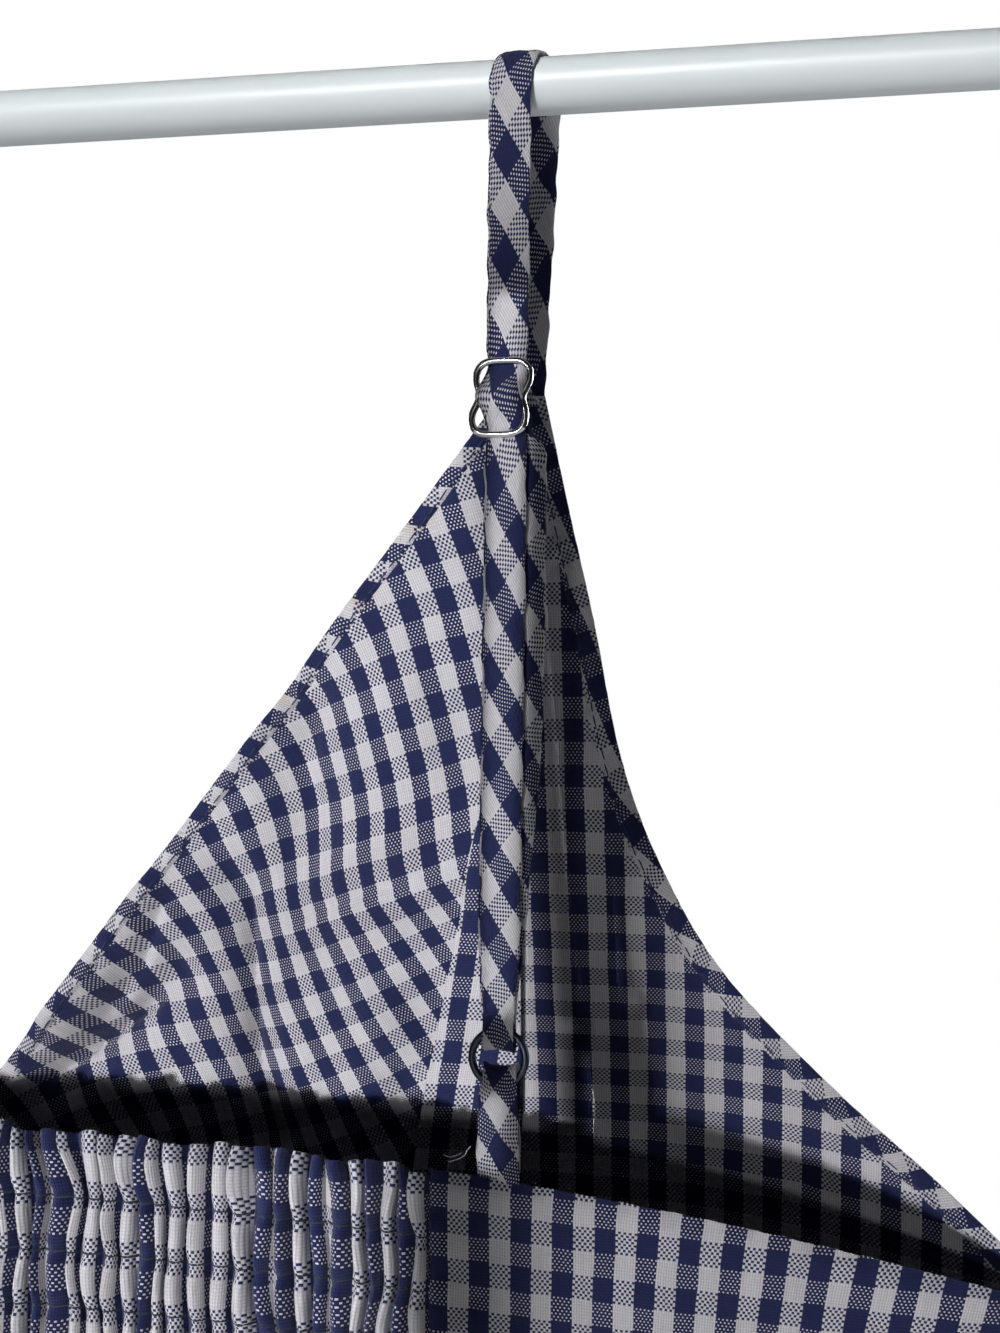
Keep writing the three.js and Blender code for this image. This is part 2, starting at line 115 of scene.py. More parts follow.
# Creases of the front: the large ones of the solids, then finer ones
FRONT_CREASES = table(
    "x0 z0 x1 z1 width depth",
    (112, -155, 72, -168, 7, -2.4),
    (58, -162, 62, -216, 6, 3.4),
    (75, -122, 70, -176, 8, 3.0),
    (16, -205, 43, -182, 6, 4.6),
    (15, -190, 37, -165, 6, -2.6),
    (97, -112, 92, -146, 11, -2.2),
    (88, -184, 84, -226, 9, -2.6),
    (30, -222, 24, -296, 8, 3.2),
    (104, -226, 98, -298, 8, 3.0),
    (150, -236, 158, -298, 10, 2.4),
    (190, -240, 186, -296, 8, -1.8),
)

# Finer creases, each along a short path; left and right are how far it spreads on either side,
# looking along the path, and depth is away from the camera side
FINE_CREASES = table(
    "path left right depth",
    (((48.8, -149.8), (39, -163), (24.2, -179.9), (16.9, -187.9), (4, -203)), 6.0, 6.0, -0.5),
    (((47.5, -161), (41.2, -166.7), (38.6, -173), (35.3, -179.7), (27, -190), (20, -197)), 1.5, 2.6, 1.7),
    (((41, -187), (33.3, -191.9), (24.8, -198), (17.1, -203.6), (6.5, -209)), 0.7, 3.0, 3.8),
    (((60.4, -158), (59.6, -182), (59.8, -200), (62, -226)), 1.1, 1.4, 1.7),
    (((56.5, -168), (55.4, -186), (55.8, -214)), 2.4, 2.2, -0.4),
    (((65.5, -172), (65.2, -190), (66.5, -218)), 2.6, 2.6, -0.3),
    (((112, -155.2), (102.6, -156.9), (94.4, -160.9), (84.5, -163.3), (75.4, -167.8), (66, -171)),
     1.3, 4.0, 2.2),
    (((97, -150), (86, -154), (76, -160)), 3.2, 3.2, -1.0),
    (((82, -176), (94, -186), (104, -199)), 3.2, 2.4, 0.8),
    (((74, -182), (84, -194), (96, -210)), 3.2, 2.4, 0.8),
    (((78, -118), (74, -136), (77, -152)), 3.2, 2.4, 0.9),
    (((150, -168), (147, -186), (146, -206)), 4.0, 3.0, 0.7),
    (((186, -212), (176, -221), (160, -229)), 3.0, 2.4, 0.9),
)

# Which way the check's lines run on the draped cup: lean is how far the long stripes
# tip to the right on their way down, rise how far the cross stripes climb to the right,
# both in degrees, with the repeats across and along in millimetres
CUP_CHECK = table(
    "x z lean across rise along",
    (111, -77, 16, 8.4, 12, 10.8),
    (102, -93, 21, 8.5, 15, 11.0),
    (107, -109, 13, 8.2, 13, 11.0),
    (109, -143, 11, 8.3, 16, 10.8),
    (86, -105, 31, 9.5, 21, 9.8),
    (96, -126, 12, 7.1, 19, 10.3),
    (80, -134, 8, 6.3, 18, 9.6),
    (68, -122, 40, 9.3, 25, 9.1),
    (75, -152, -10, 5.9, 14, 9.3),
    (88, -154, -11, 6.5, 14, 9.3),
    (101, -151, 7, 7.8, 16, 9.6),
    (56, -137, 45, 9.8, 29, 8.7),
    (60, -152, 19, 8.0, 22, 8.9),
    (103, -164, 41, 9.2, 24, 8.4),
    (94, -177, 41, 8.9, 28, 8.5),
    (81, -173, 28, 8.0, 24, 8.7),
    (71, -187, 18, 7.0, 19, 9.1),
    (60, -187, 2, 4.3, 15, 9.1),
    (60, -172, -4, 5.6, 15, 9.1),
    (77, -200, 28, 8.2, 25, 8.9),
    (95, -199, 39, 8.6, 29, 8.6),
    (47, -150, 50, 10.4, 31, 8.8),
    (39, -161, 55, 11.0, 29, 8.9),
    (50, -165, 30, 9.0, 22, 9.0),
    (52, -178, 11, 7.6, 15, 9.1),
    (42, -187, -13, 7.6, 11, 9.2),
    (27, -177, 58, 12.2, 33, 9.3),
    (14, -195, 63, 13.5, 35, 9.5),
    (31, -188, 50, 11.2, 28, 9.5),
    (25, -201, 23, 9.2, 13, 9.8),
    (37, -201, 15, 8.6, 9, 9.8),
    (48, -205, 11, 8.1, 9, 9.8),
    (60, -207, 4, 4.6, 10, 9.3),
    (20, -285, 4, 8.2, 4, 8.4),
    (100, -285, 6, 8.2, 4, 8.4),
)

# Faint tan marks on the neckline's hem
STAINS = table(
    "x y z radius",
    (100.5, 11, -83.5, 5.5),
    (88.0, 13, -99.5, 5.0),
    (70.5, 16, -121, 3.5),
)


# Helpers for curves and tables

def smooth_step(a, b, value):
    t = np.clip((value - a) / (b - a), 0, 1)
    return t * t * (3 - 2 * t)


def lerp(a, b, t):
    return a + (b - a) * t


def hump(away, width):
    """1 in the middle, falling off softly on both sides."""
    return np.exp(-(away / width) ** 2)


def running(steps):
    """How far along each point lies, from the steps between the points."""
    return np.concatenate([[0], np.cumsum(steps)])


def path_run(path):
    return running(np.linalg.norm(np.diff(path, axis=0), axis=1))


def read_table(rows, key, column, value):
    """A smooth curve through a short table, as in the solids."""
    keys = np.array([row[key] for row in rows], float)
    values = np.array([row[column] for row in rows], float)
    if keys[-1] < keys[0]:
        keys, values = keys[::-1], values[::-1]
    value = np.clip(np.asarray(value, float), keys[0], keys[-1])
    slopes = np.empty_like(values)
    slopes[1:-1] = (values[2:] - values[:-2]) / (keys[2:] - keys[:-2])
    slopes[0] = (values[1] - values[0]) / (keys[1] - keys[0])
    slopes[-1] = (values[-1] - values[-2]) / (keys[-1] - keys[-2])
    i = np.clip(np.searchsorted(keys, value, side="right") - 1, 0, len(keys) - 2)
    span = keys[i + 1] - keys[i]
    t = (value - keys[i]) / span
    rise = 3 * t**2 - 2 * t**3
    bend = span * slopes[i] * t * (1 - t) ** 2 - span * slopes[i + 1] * t**2 * (1 - t)
    return values[i] * (1 - rise) + values[i + 1] * rise + bend


def waves(amount, lengths, seed, *coords):
    """Soft uneven ripple: a few sine waves whose lengths, turns and starts are drawn from a seed."""
    draw = np.random.default_rng(seed)
    total = 0
    for length in lengths:
        turn = draw.uniform(0, math.pi)
        start = draw.uniform(0, 2 * math.pi)
        if len(coords) == 1:
            phase = coords[0] / length
        else:
            phase = (coords[0] * math.cos(turn) + coords[1] * math.sin(turn)) / length
        total = total + np.sin(2 * math.pi * phase + start)
    return amount * total / math.sqrt(len(lengths))


# Surfaces of the dress

def bodice_half_width(z):
    z = np.minimum(z, SIDE_TOP_Z)
    return lerp(SIDE_X, WAIST_X, (z - SIDE_TOP_Z) / (BUST_SEAM_Z - SIDE_TOP_Z))


def crease_depth(rows, x, z):
    depth = 0
    for row in rows:
        dx = row["x1"] - row["x0"]
        dz = row["z1"] - row["z0"]
        along = ((x - row["x0"]) * dx + (z - row["z0"]) * dz) / (dx * dx + dz * dz)
        t = np.clip(along, 0, 1)
        away = np.hypot(x - row["x0"] - t * dx, z - row["z0"] - t * dz) / row["width"]
        depth = depth + row["depth"] * np.exp(-away * away)
    return depth


def fine_crease_depth(rows, x, z):
    """Depth of creases that follow a path and may be steeper on one side."""
    total = 0
    for row in rows:
        path = np.array(row["path"], float)
        steps = np.linalg.norm(np.diff(path, axis=0), axis=1)
        starts = running(steps)
        nearest, lefthand, along = np.full(np.shape(x), 1e9), 0, 0
        for a, b, step, begin in zip(path[:-1], path[1:], steps, starts):
            dx, dz = (b - a) / step
            t = np.clip((x - a[0]) * dx + (z - a[1]) * dz, 0, step)
            away = np.hypot(x - a[0] - t * dx, z - a[1] - t * dz)
            closer = away < nearest
            nearest = np.where(closer, away, nearest)
            lefthand = np.where(closer, (x - a[0]) * -dz + (z - a[1]) * dx > 0, lefthand)
            along = np.where(closer, (begin + t) / starts[-1], along)
        width = np.where(lefthand, row["left"], row["right"])
        ends = smooth_step(0, 0.16, along) * (1 - smooth_step(0.8, 1, along))
        total = total + row["depth"] * ends * hump(nearest, width)
    return total


def neck_x(z):
    return np.maximum(HALF_GAP, lerp(HALF_GAP, APEX_IN, (z - V_Z) / (APEX_Z - V_Z)))


NECK_SLOPE = math.atan2(APEX_Z - V_Z, APEX_IN)


def neck_distance(x, z):
    """How far a point of the front lies from the straight neckline."""
    return (x - lerp(0, APEX_IN, (z - V_Z) / (APEX_Z - V_Z))) * math.sin(NECK_SLOPE)


def neck_run(x, z):
    """How far along the neckline a point lies, from the foot of the V."""
    return x * math.cos(NECK_SLOPE) + (z - V_Z) * math.sin(NECK_SLOPE)


def armhole_x(z):
    return np.where(z > SIDE_TOP_Z, read_table(ARMHOLE, "z", "x", z), bodice_half_width(z))


def cup_seam_x(z):
    return lerp(CUP_SEAM, CUP_SEAM_FOOT, (z - APEX_Z) / (BUST_SEAM_Z - APEX_Z))


def facing_edge_x(z):
    return read_table(FACING_EDGE, "z", "x", z)


def armhole_distance(x, z):
    slope = (armhole_x(z - 1) - armhole_x(z + 1)) / 2
    return (armhole_x(z) - x) / np.sqrt(1 + slope * slope)


def front_y(x, z):
    scaled = x * SIDE_X / bodice_half_width(z)
    share = read_table(FRONT_ACROSS, "x", "share", scaled)
    near_side = 1 - smooth_step(205, 224, scaled)
    near_apex = smooth_step(APEX_Z, APEX_Z - 40, z)
    large = crease_depth(FRONT_CREASES, x, z) * near_side * near_apex
    return SIDE_Y + read_table(FRONT_DEPTH, "z", "depth", z) * share + large


def front_fine(x, z):
    """Small creases, the crinkle of washed cotton and the puckers along the sewn edges."""
    depth = fine_crease_depth(FINE_CREASES, x, z)
    depth = depth + waves(0.10, [6, 8, 11, 15, 21], 3, x, z)
    from_neck = neck_distance(x, z)
    pucker = waves(0.30, [4.1, 5.3, 7.9], 5, neck_run(x, z))
    depth = depth + pucker * hump(from_neck - HEM_WIDTH, 2.4)
    from_arm = armhole_distance(x, z)
    ripple = waves(0.42, [4.7, 6.2, 8.8], 9, z * 1.1 - x * 0.8)
    depth = depth + ripple * hump(from_arm - HEM_WIDTH, 2.8) * (z > SIDE_TOP_Z + 8)
    return depth * smooth_step(APEX_Z + 1, APEX_Z - 14, z)


def back_y(x, z):
    share = np.maximum(0, 1 - (x / bodice_half_width(z)) ** 2) ** 0.8
    return -(SIDE_Y + BACK_DEPTH * share)


def back_top_z(x):
    return BACK_TOP_Z - (BACK_TOP_Z - SIDE_TOP_Z) * (np.abs(x) / SIDE_X) ** 2.2


# Meshes

def mesh_object(name, points, faces, uvs, material, node=None, sharp=55):
    """An object from points in millimetres, quads or triangles, and cloth coordinates by point."""
    mesh = bpy.data.meshes.new(name)
    mesh.from_pydata((np.asarray(points) * MM).tolist(), [], [list(map(int, f)) for f in faces])
    if uvs is not None:
        layer = mesh.uv_layers.new(name="cloth")
        corner = np.empty(len(mesh.loops), dtype=np.int32)
        mesh.loops.foreach_get("vertex_index", corner)
        layer.data.foreach_set("uv", np.asarray(uvs, np.float32)[corner].ravel())
    mesh.polygons.foreach_set("use_smooth", np.ones(len(mesh.polygons), dtype=bool))
    mesh.set_sharp_from_angle(angle=math.radians(sharp))
    mesh.materials.append(material)
    mesh.update()
    piece = bpy.data.objects.new(name, mesh)
    bpy.context.scene.collection.objects.link(piece)
    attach(piece, "root")
    if node:
        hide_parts(node)
    return piece


def unit(vectors):
    return vectors / np.maximum(np.linalg.norm(vectors, axis=-1, keepdims=True), 1e-9)


def grid_normals(points):
    along = np.gradient(points, axis=1)
    down = np.gradient(points, axis=0)
    return unit(np.cross(along, down))


def shell_faces(rows, columns, turned):
    """Faces of a closed shell over two grids of rows by columns cells."""
    width = columns + 1
    cell = (np.arange(rows)[:, None] * width + np.arange(columns)[None, :]).ravel()
    back = (rows + 1) * width
    outer = np.stack([cell, cell + 1, cell + 1 + width, cell + width], axis=1)
    inner = np.stack([cell, cell + width, cell + width + 1, cell + 1], axis=1) + back
    c = np.arange(columns)
    last = rows * width
    top = np.stack([c + 1, c, back + c, back + c + 1], axis=1)
    foot = np.stack([last + c, last + c + 1, back + last + c + 1, back + last + c], axis=1)
    a = np.arange(rows) * width
    b = a + columns
    left = np.stack([a, a + width, back + a + width, back + a], axis=1)
    right = np.stack([b + width, b, back + b, back + b + width], axis=1)
    faces = np.concatenate([outer, inner, top, foot, left, right])
    return faces[:, ::-1] if turned else faces


def cloth_shell(name, points, coords, facing, node=None):
    """A thin closed sheet about a grid of middle points; facing is +1 towards the front."""
    rows, columns = points.shape[0] - 1, points.shape[1] - 1
    normal = grid_normals(points)
    turned = float(np.mean(normal[:, :, 1])) * facing < 0
    if turned:
        normal = -normal
    proud = normal * (CLOTH / 2)
    both = np.concatenate([(points + proud).reshape(-1, 3), (points - proud).reshape(-1, 3)])
    uv = coords.reshape(-1, 2)
    faces = shell_faces(rows, columns, turned)
    return mesh_object(name, both, faces, np.concatenate([uv, uv]), CHECKED, node)


def check_coordinates(points, chart, rounds=500):
    """Cloth coordinates, in repeats of the check, whose lines lean and crowd as the chart says.
    The grid's edges each ask for a step in both coordinates, and the steps are met as nearly as can be."""
    x, z = points[:, :, 0], points[:, :, 2]
    weight = 0
    asked = np.zeros(x.shape + (4,))
    for row in chart:
        near = 1 / (((x - row["x"]) ** 2 + (z - row["z"]) ** 2) / 60 + 0.25) ** 2
        lean = math.tan(math.radians(row["lean"]))
        rise = math.tan(math.radians(row["rise"]))
        wanted = [1 / row["across"], lean / row["across"], -rise / row["along"], 1 / row["along"]]
        asked += near[..., None] * np.array(wanted)
        weight = weight + near
    asked /= weight[..., None]

    def edge_steps(axis):
        ahead = np.roll(points, -1, axis=axis) - points
        mean = (np.roll(asked, -1, axis=axis) + asked) / 2
        step_u = mean[..., 0] * ahead[..., 0] + mean[..., 1] * ahead[..., 2]
        step_v = mean[..., 2] * ahead[..., 0] + mean[..., 3] * ahead[..., 2]
        valid = np.ones(x.shape)
        if axis == 0:
            valid[-1] = 0
        else:
            valid[:, -1] = 0
        stiff = valid / np.maximum(ahead[..., 0] ** 2 + ahead[..., 2] ** 2, 0.05)
        return np.stack([step_u, step_v], axis=-1), stiff[..., None]

    edges = [(axis, *edge_steps(axis)) for axis in (0, 1)]

    def spread(field):
        out = np.zeros_like(field)
        for axis, _, stiff in edges:
            flow = stiff * (np.roll(field, -1, axis=axis) - field)
            out += np.roll(flow, 1, axis=axis) - flow
        return out

    goal = np.zeros(x.shape + (2,))
    for axis, step, stiff in edges:
        flow = stiff * step
        goal += np.roll(flow, 1, axis=axis) - flow
    centre = points[x.shape[0] // 2, x.shape[1] // 2]
    start = np.stack([(x - centre[0]) / CHECK, (z - centre[2]) / CHECK], axis=-1)
    diag = sum(stiff + np.roll(stiff, 1, axis=axis) for axis, _, stiff in edges)
    field = start
    left = goal - spread(field)
    ready = left / diag
    way = ready.copy()
    size = (left * ready).sum(axis=(0, 1))
    for _ in range(rounds):
        pushed = spread(way)
        gain = size / np.maximum((way * pushed).sum(axis=(0, 1)), 1e-12)
        field = field + gain * way
        left = left - gain * pushed
        ready = left / diag
        fresh = (left * ready).sum(axis=(0, 1))
        way = ready + way * (fresh / np.maximum(size, 1e-12))
        size = fresh
    return field


# Node materials

class Nodes:
    """Short names for building a material's nodes."""

    def __init__(self, name):
        self.material = bpy.data.materials.new(name)
        self.material.use_nodes = True
        self.tree = self.material.node_tree
        self.shader = self.tree.nodes["Principled BSDF"]

    def add(self, kind, **settings):
        node = self.tree.nodes.new(kind)
        for key, value in settings.items():
            setattr(node, key, value)
        return node

    def link(self, source, target):
        self.tree.links.new(source, target)

    def put(self, socket, value):
        if hasattr(value, "is_output"):
            self.link(value, socket)
        else:
            socket.default_value = value

    def shade(self, name, value):
        """Set or link one socket of the shader."""
        self.put(self.shader.inputs[name], value)

    def place(self):
        return self.add("ShaderNodeTexCoord").outputs["Object"]

    def math(self, operation, a, b=None, c=None):
        node = self.add("ShaderNodeMath", operation=operation)
        for socket, value in zip(node.inputs, (a, b, c)):
            if value is not None:
                self.put(socket, value)
        return node.outputs[0]

    def mix(self, factor, a, b):
        node = self.add("ShaderNodeMix", data_type="RGBA")
        self.put(node.inputs["Factor"], factor)
        self.put(node.inputs[6], a)
        self.put(node.inputs[7], b)
        return node.outputs[2]

    def blend(self, factor, a, b):
        node = self.add("ShaderNodeMix", data_type="FLOAT")
        self.put(node.inputs["Factor"], factor)
        self.put(node.inputs[2], a)
        self.put(node.inputs[3], b)
        return node.outputs[0]

    def times(self, a, b):
        return self.math("MULTIPLY", a, b)

    def scaled(self, a, by, plus):
        return self.math("MULTIPLY_ADD", a, by, plus)

    def past_middle(self, part, reach):
        """1 where a share lies farther from a half than the reach."""
        return self.math("GREATER_THAN", self.math("ABSOLUTE", self.math("SUBTRACT", part, 0.5)), reach)

    def noise(self, vector, scale, detail=2.0):
        node = self.add("ShaderNodeTexNoise")
        self.link(vector, node.inputs["Vector"])
        node.inputs["Scale"].default_value = scale
        node.inputs["Detail"].default_value = detail
        return node.outputs["Fac"]

    def bump(self, height, distance, strength=1.0, under=None):
        node = self.add("ShaderNodeBump")
        node.inputs["Strength"].default_value = strength
        node.inputs["Distance"].default_value = distance
        self.link(height, node.inputs["Height"])
        if under is not None:
            self.link(under, node.inputs["Normal"])
        return node.outputs["Normal"]


NAVY = (0.0085, 0.0125, 0.062, 1)
NAVY_PALE = (0.016, 0.023, 0.098, 1)
WHITE = (0.76, 0.74, 0.785, 1)
WHITE_DULL = (0.47, 0.455, 0.50, 1)
TAN = (0.56, 0.43, 0.30, 1)


def stained(n):
    """How strongly the tan marks show at a point, uneven at their edges."""
    where = n.place()
    near = 0.0
    for row in STAINS:
        away = n.add("ShaderNodeVectorMath", operation="DISTANCE")
        n.link(where, away.inputs[0])
        away.inputs[1].default_value = (row["x"] * MM, row["y"] * MM, row["z"] * MM)
        part = n.add("ShaderNodeMapRange")
        n.link(away.outputs["Value"], part.inputs["Value"])
        part.inputs["From Min"].default_value = row["radius"] * MM
        part.inputs["From Max"].default_value = row["radius"] * MM * 0.35
        near = n.math("MAXIMUM", near, part.outputs["Result"])
    return n.times(near, n.noise(where, 520.0, 3.0))


def gingham(name, yarns):
    """Plain weave of navy and off-white yarns; cloth coordinates count repeats of the check."""
    n = Nodes(name)
    place = n.add("ShaderNodeUVMap", uv_map="cloth").outputs["UV"]
    split = n.add("ShaderNodeSeparateXYZ")
    n.link(place, split.inputs[0])
    sway_u = n.scaled(n.noise(place, 0.9, 3.0), 0.09, -0.045)
    moved = n.add("ShaderNodeVectorMath", operation="ADD")
    n.link(place, moved.inputs[0])
    moved.inputs[1].default_value = (13.7, 5.1, 0)
    sway_v = n.scaled(n.noise(moved.outputs[0], 0.9, 3.0), 0.09, -0.045)
    u = n.math("ADD", split.outputs[0], sway_u)
    v = n.math("ADD", split.outputs[1], sway_v)
    stripe_u = n.math("LESS_THAN", n.math("FRACT", u), 0.5)
    stripe_v = n.math("LESS_THAN", n.math("FRACT", v), 0.5)
    yarn_u = n.times(u, n.scaled(stripe_u, FINER_NAVY, yarns))
    yarn_v = n.times(v, yarns)
    cell_u = n.math("FLOOR", yarn_u)
    cell_v = n.math("FLOOR", yarn_v)
    part_u = n.math("FRACT", yarn_u)
    part_v = n.math("FRACT", yarn_v)
    # The long yarns are the fuller ones, and show beside each cross yarn that goes over them
    parity = n.math("FLOORED_MODULO", n.math("ADD", cell_u, cell_v), 2.0)
    tall = n.scaled(stripe_v, 0.13, 0.25)
    wide = n.scaled(stripe_v, 0.09, 0.39)
    beside = n.past_middle(part_v, tall)
    past = n.past_middle(part_u, wide)
    over = n.math("MAXIMUM", n.math("GREATER_THAN", parity, 0.5), n.math("MAXIMUM", beside, past))
    navy = n.blend(over, stripe_v, stripe_u)

    # Rounded yarns that dive under each other
    round_u = n.math("SINE", n.times(part_u, math.pi))
    round_v = n.math("SINE", n.times(part_v, math.pi))
    long_over = n.times(round_u, n.scaled(round_v, 0.55, 0.45))
    cross_over = n.times(round_v, n.scaled(round_u, 0.55, 0.45))
    height = n.blend(over, cross_over, long_over)

    # Each yarn has its own shade, and slubs run along it
    yarn_id = n.add("ShaderNodeCombineXYZ")
    n.link(n.blend(over, cell_v, cell_u), yarn_id.inputs[0])
    n.link(n.times(over, 7.0), yarn_id.inputs[1])
    shade = n.add("ShaderNodeTexWhiteNoise", noise_dimensions="2D")
    n.link(yarn_id.outputs[0], shade.inputs["Vector"])
    slub = n.times(n.noise(place, 9.0, 4.0), 0.4)
    nap = n.times(n.noise(place, 24.0, 1.0), 0.4)
    worn = n.noise(place, 0.55, 3.0)
    tone = n.scaled(shade.outputs["Value"], 0.2, n.math("ADD", slub, nap))
    dark = n.mix(tone, NAVY, NAVY_PALE)
    light = n.mix(stained(n), n.mix(tone, WHITE_DULL, WHITE), TAN)
    colour = n.mix(navy, light, dark)
    # Painted shade: sunk darkens the colour where the yarns dip under each other, and the slow worn noise
    # adds uneven wear on top
    sunk = n.scaled(n.math("POWER", height, 0.6), 0.48, 0.57)
    shade_and_wear = n.times(sunk, n.scaled(worn, 0.24, 0.88))
    shaded_colour = n.add("ShaderNodeVectorMath", operation="SCALE")
    n.link(colour, shaded_colour.inputs[0])
    n.link(shade_and_wear, shaded_colour.inputs["Scale"])
    n.shade("Base Color", shaded_colour.outputs[0])

    crinkle = n.bump(n.noise(place, 1.9, 3.0), 0.0011, 0.35)
    n.shade("Normal", n.bump(height, 0.00013, 0.75, crinkle))
    n.shade("Roughness", 0.88)
    n.shade("Specular IOR Level", 0.22)
    n.shade("Sheen Weight", 0.12)
    n.shade("Sheen Roughness", 0.55)
    return n.material


def dimmed(colour, share):
    return tuple(share * part for part in colour[:3]) + (1,)


def metal(name, colour, rough, scratch):
    n = Nodes(name)
    place = n.place()
    fine = n.noise(place, 900.0, 3.0)
    n.shade("Roughness", n.scaled(fine, scratch, rough - scratch / 2))
    dull = dimmed(colour, 0.86)
    n.shade("Base Color", n.mix(n.noise(place, 260.0, 2.0), dull, colour))
    n.shade("Normal", n.bump(fine, 0.00002, 0.4))
    n.shade("Metallic", 1.0)
    return n.material


def moulded_plastic(name):
    n = Nodes(name)
    place = n.place()
    cloud = n.noise(place, 14.0, 3.0)
    n.shade("Base Color", n.mix(cloud, (0.80, 0.865, 0.895, 1), (0.86, 0.91, 0.93, 1)))
    n.shade("Roughness", n.scaled(n.noise(place, 30.0, 3.0), 0.10, 0.33))
    n.shade("Normal", n.bump(n.noise(place, 40.0, 2.0), 0.0002, 0.06))
    n.shade("Specular IOR Level", 0.45)
    n.shade("Subsurface Weight", 0.12)
    n.shade("Subsurface Radius", (0.004, 0.004, 0.004))
    return n.material


def thread(name, colour):
    n = Nodes(name)
    place = n.place()
    deep = dimmed(colour, 0.6)
    n.shade("Base Color", n.mix(n.noise(place, 2600.0, 2.0), deep, colour))
    n.shade("Normal", n.bump(n.noise(place, 3400.0, 2.0), 0.00008, 0.6))
    n.shade("Roughness", 0.8)
    return n.material


CHECKED = gingham("gingham_cloth", YARNS)
TAPE = gingham("gingham_tape", TAPE_YARNS)
SILVER = metal("slider_wire", (0.83, 0.83, 0.84, 1), 0.16, 0.10)
GUNMETAL = metal("ring_metal", (0.085, 0.105, 0.14, 1), 0.40, 0.12)
PLASTIC = moulded_plastic("rod_plastic")
NAVY_THREAD = thread("navy_thread", (0.03, 0.045, 0.13, 1))
GREY_THREAD = thread("elastic_thread", (0.035, 0.05, 0.07, 1))
PALE_THREAD = thread("pale_thread", (0.60, 0.58, 0.60, 1))


def mirrored(points, side):
    return points * np.array([side, 1, 1])


# Hems and stitches

HEM_STEPS = 9           # points across a hem
STITCH_COLUMN = 7       # which of them the stitches follow


def hem_strip(name, panel, coords, side, width, at_end):
    """The turned-in edge of a panel, seen on the camera side; its check is the panel's, folded back."""
    at, near = (-1, -4) if at_end else (0, 3)
    edge, beside = panel[:, at], panel[:, near]
    first, second = coords[:, at], coords[:, near]
    by_x = (second - first) / (beside[:, 0] - edge[:, 0])[:, None]
    edge_x, edge_z = np.gradient(edge[:, 0]), np.minimum(np.gradient(edge[:, 2]), -1e-6)
    by_z = (np.gradient(first, axis=0) - by_x * edge_x[:, None]) / edge_z[:, None]
    tilt = edge_x / edge_z
    reach = width * np.sqrt(1 + tilt**2) * (-1 if at_end else 1)
    room = 0.92 * np.abs(panel[:, -1, 0] - panel[:, 0, 0])
    reach = np.sign(reach) * np.minimum(np.abs(reach), room)
    share = np.linspace(0, 1, HEM_STEPS + 1)[None, :]
    x = edge[:, 0:1] + reach[:, None] * share
    z = edge[:, 2:3] + 0 * x
    run = path_run(edge)[:, None]
    puff = waves(0.22, [3.3, 4.4, 7.1], len(name), run + 0 * x, 3 * share + 0 * x)
    lift = 0.14 + (0.44 + puff) * np.sin(math.pi * share) ** 0.7 - 0.26 * smooth_step(0.86, 1, share)
    y = front_y(x, z) + front_fine(x, z) - lift
    offset = x - edge[:, 0:1]
    turn_x = (offset * (1 - 2 / (1 + tilt[:, None] ** 2)))[..., None]
    turn_z = (offset * 2 * tilt[:, None] / (1 + tilt[:, None] ** 2))[..., None]
    uv = first[:, None, :] + by_x[:, None, :] * turn_x + by_z[:, None, :] * turn_z
    points = np.stack([x, y, z], axis=-1)
    return cloth_shell(name, mirrored(points, side), uv, 1), points


def stitch_row(name, path, side, into, seed):
    """Stitches laid one after another along a path, their ends drawn into the cloth along y."""
    length, gap, radius, sunk = 2.7, 0.8, 0.15, 0.22
    draw = np.random.default_rng(seed)
    run = path_run(path)
    parts = []
    at = 1.0
    while at + length < run[-1] - 1:
        size = length * draw.uniform(0.82, 1.12)
        marks = at + size * np.array([0, 0.18, 0.5, 0.82, 1])
        spots = np.stack([np.interp(marks, run, path[:, k]) for k in range(3)], axis=1)
        spots[:, 0] += draw.normal(0, 0.08)
        spots[[0, -1], 1] += sunk * into
        parts.append(tube(mirrored(spots, side), radius, 6))
        at += size + gap * draw.uniform(0.8, 1.3)
    join_tubes(name, parts, NAVY_THREAD)


def stitched_hem(edge, label, side, panel, coords, width, at_end, skip, apart, seed):
    """A turned hem and a row of stitches on each of its faces, which start a few rows down."""
    hem, strip = hem_strip(f"{edge}_hem_{label}", panel, coords, side, width, at_end)
    line = strip[skip:, STITCH_COLUMN] - np.array([0, STITCH_RISE, 0])
    stitch_row(f"{edge}_stitches_{label}", line, side, 1, seed)
    stitch_row(f"{edge}_stitches_out_{label}", line + np.array([0, apart, 0]), side, -1, seed + 1)
    return hem


# Front pieces

def unit_grid(rows, columns):
    """Shares down and across a grid of rows by columns cells."""
    return np.linspace(0, 1, rows + 1)[:, None], np.linspace(0, 1, columns + 1)[None, :]


def front_grid(left_edge, right_edge, top, columns, rows):
    v, u = unit_grid(rows, columns)
    z = lerp(top, BUST_SEAM_Z + HALF_GAP, v) + 0 * u
    x = lerp(left_edge(z), right_edge(z), u)
    return np.stack([x, front_y(x, z) + front_fine(x, z), z], axis=-1)


FACING_STRIPE_Z = -196.7    # middle of a navy cross stripe of the seam's strip
FACING_REPEAT = 9.5


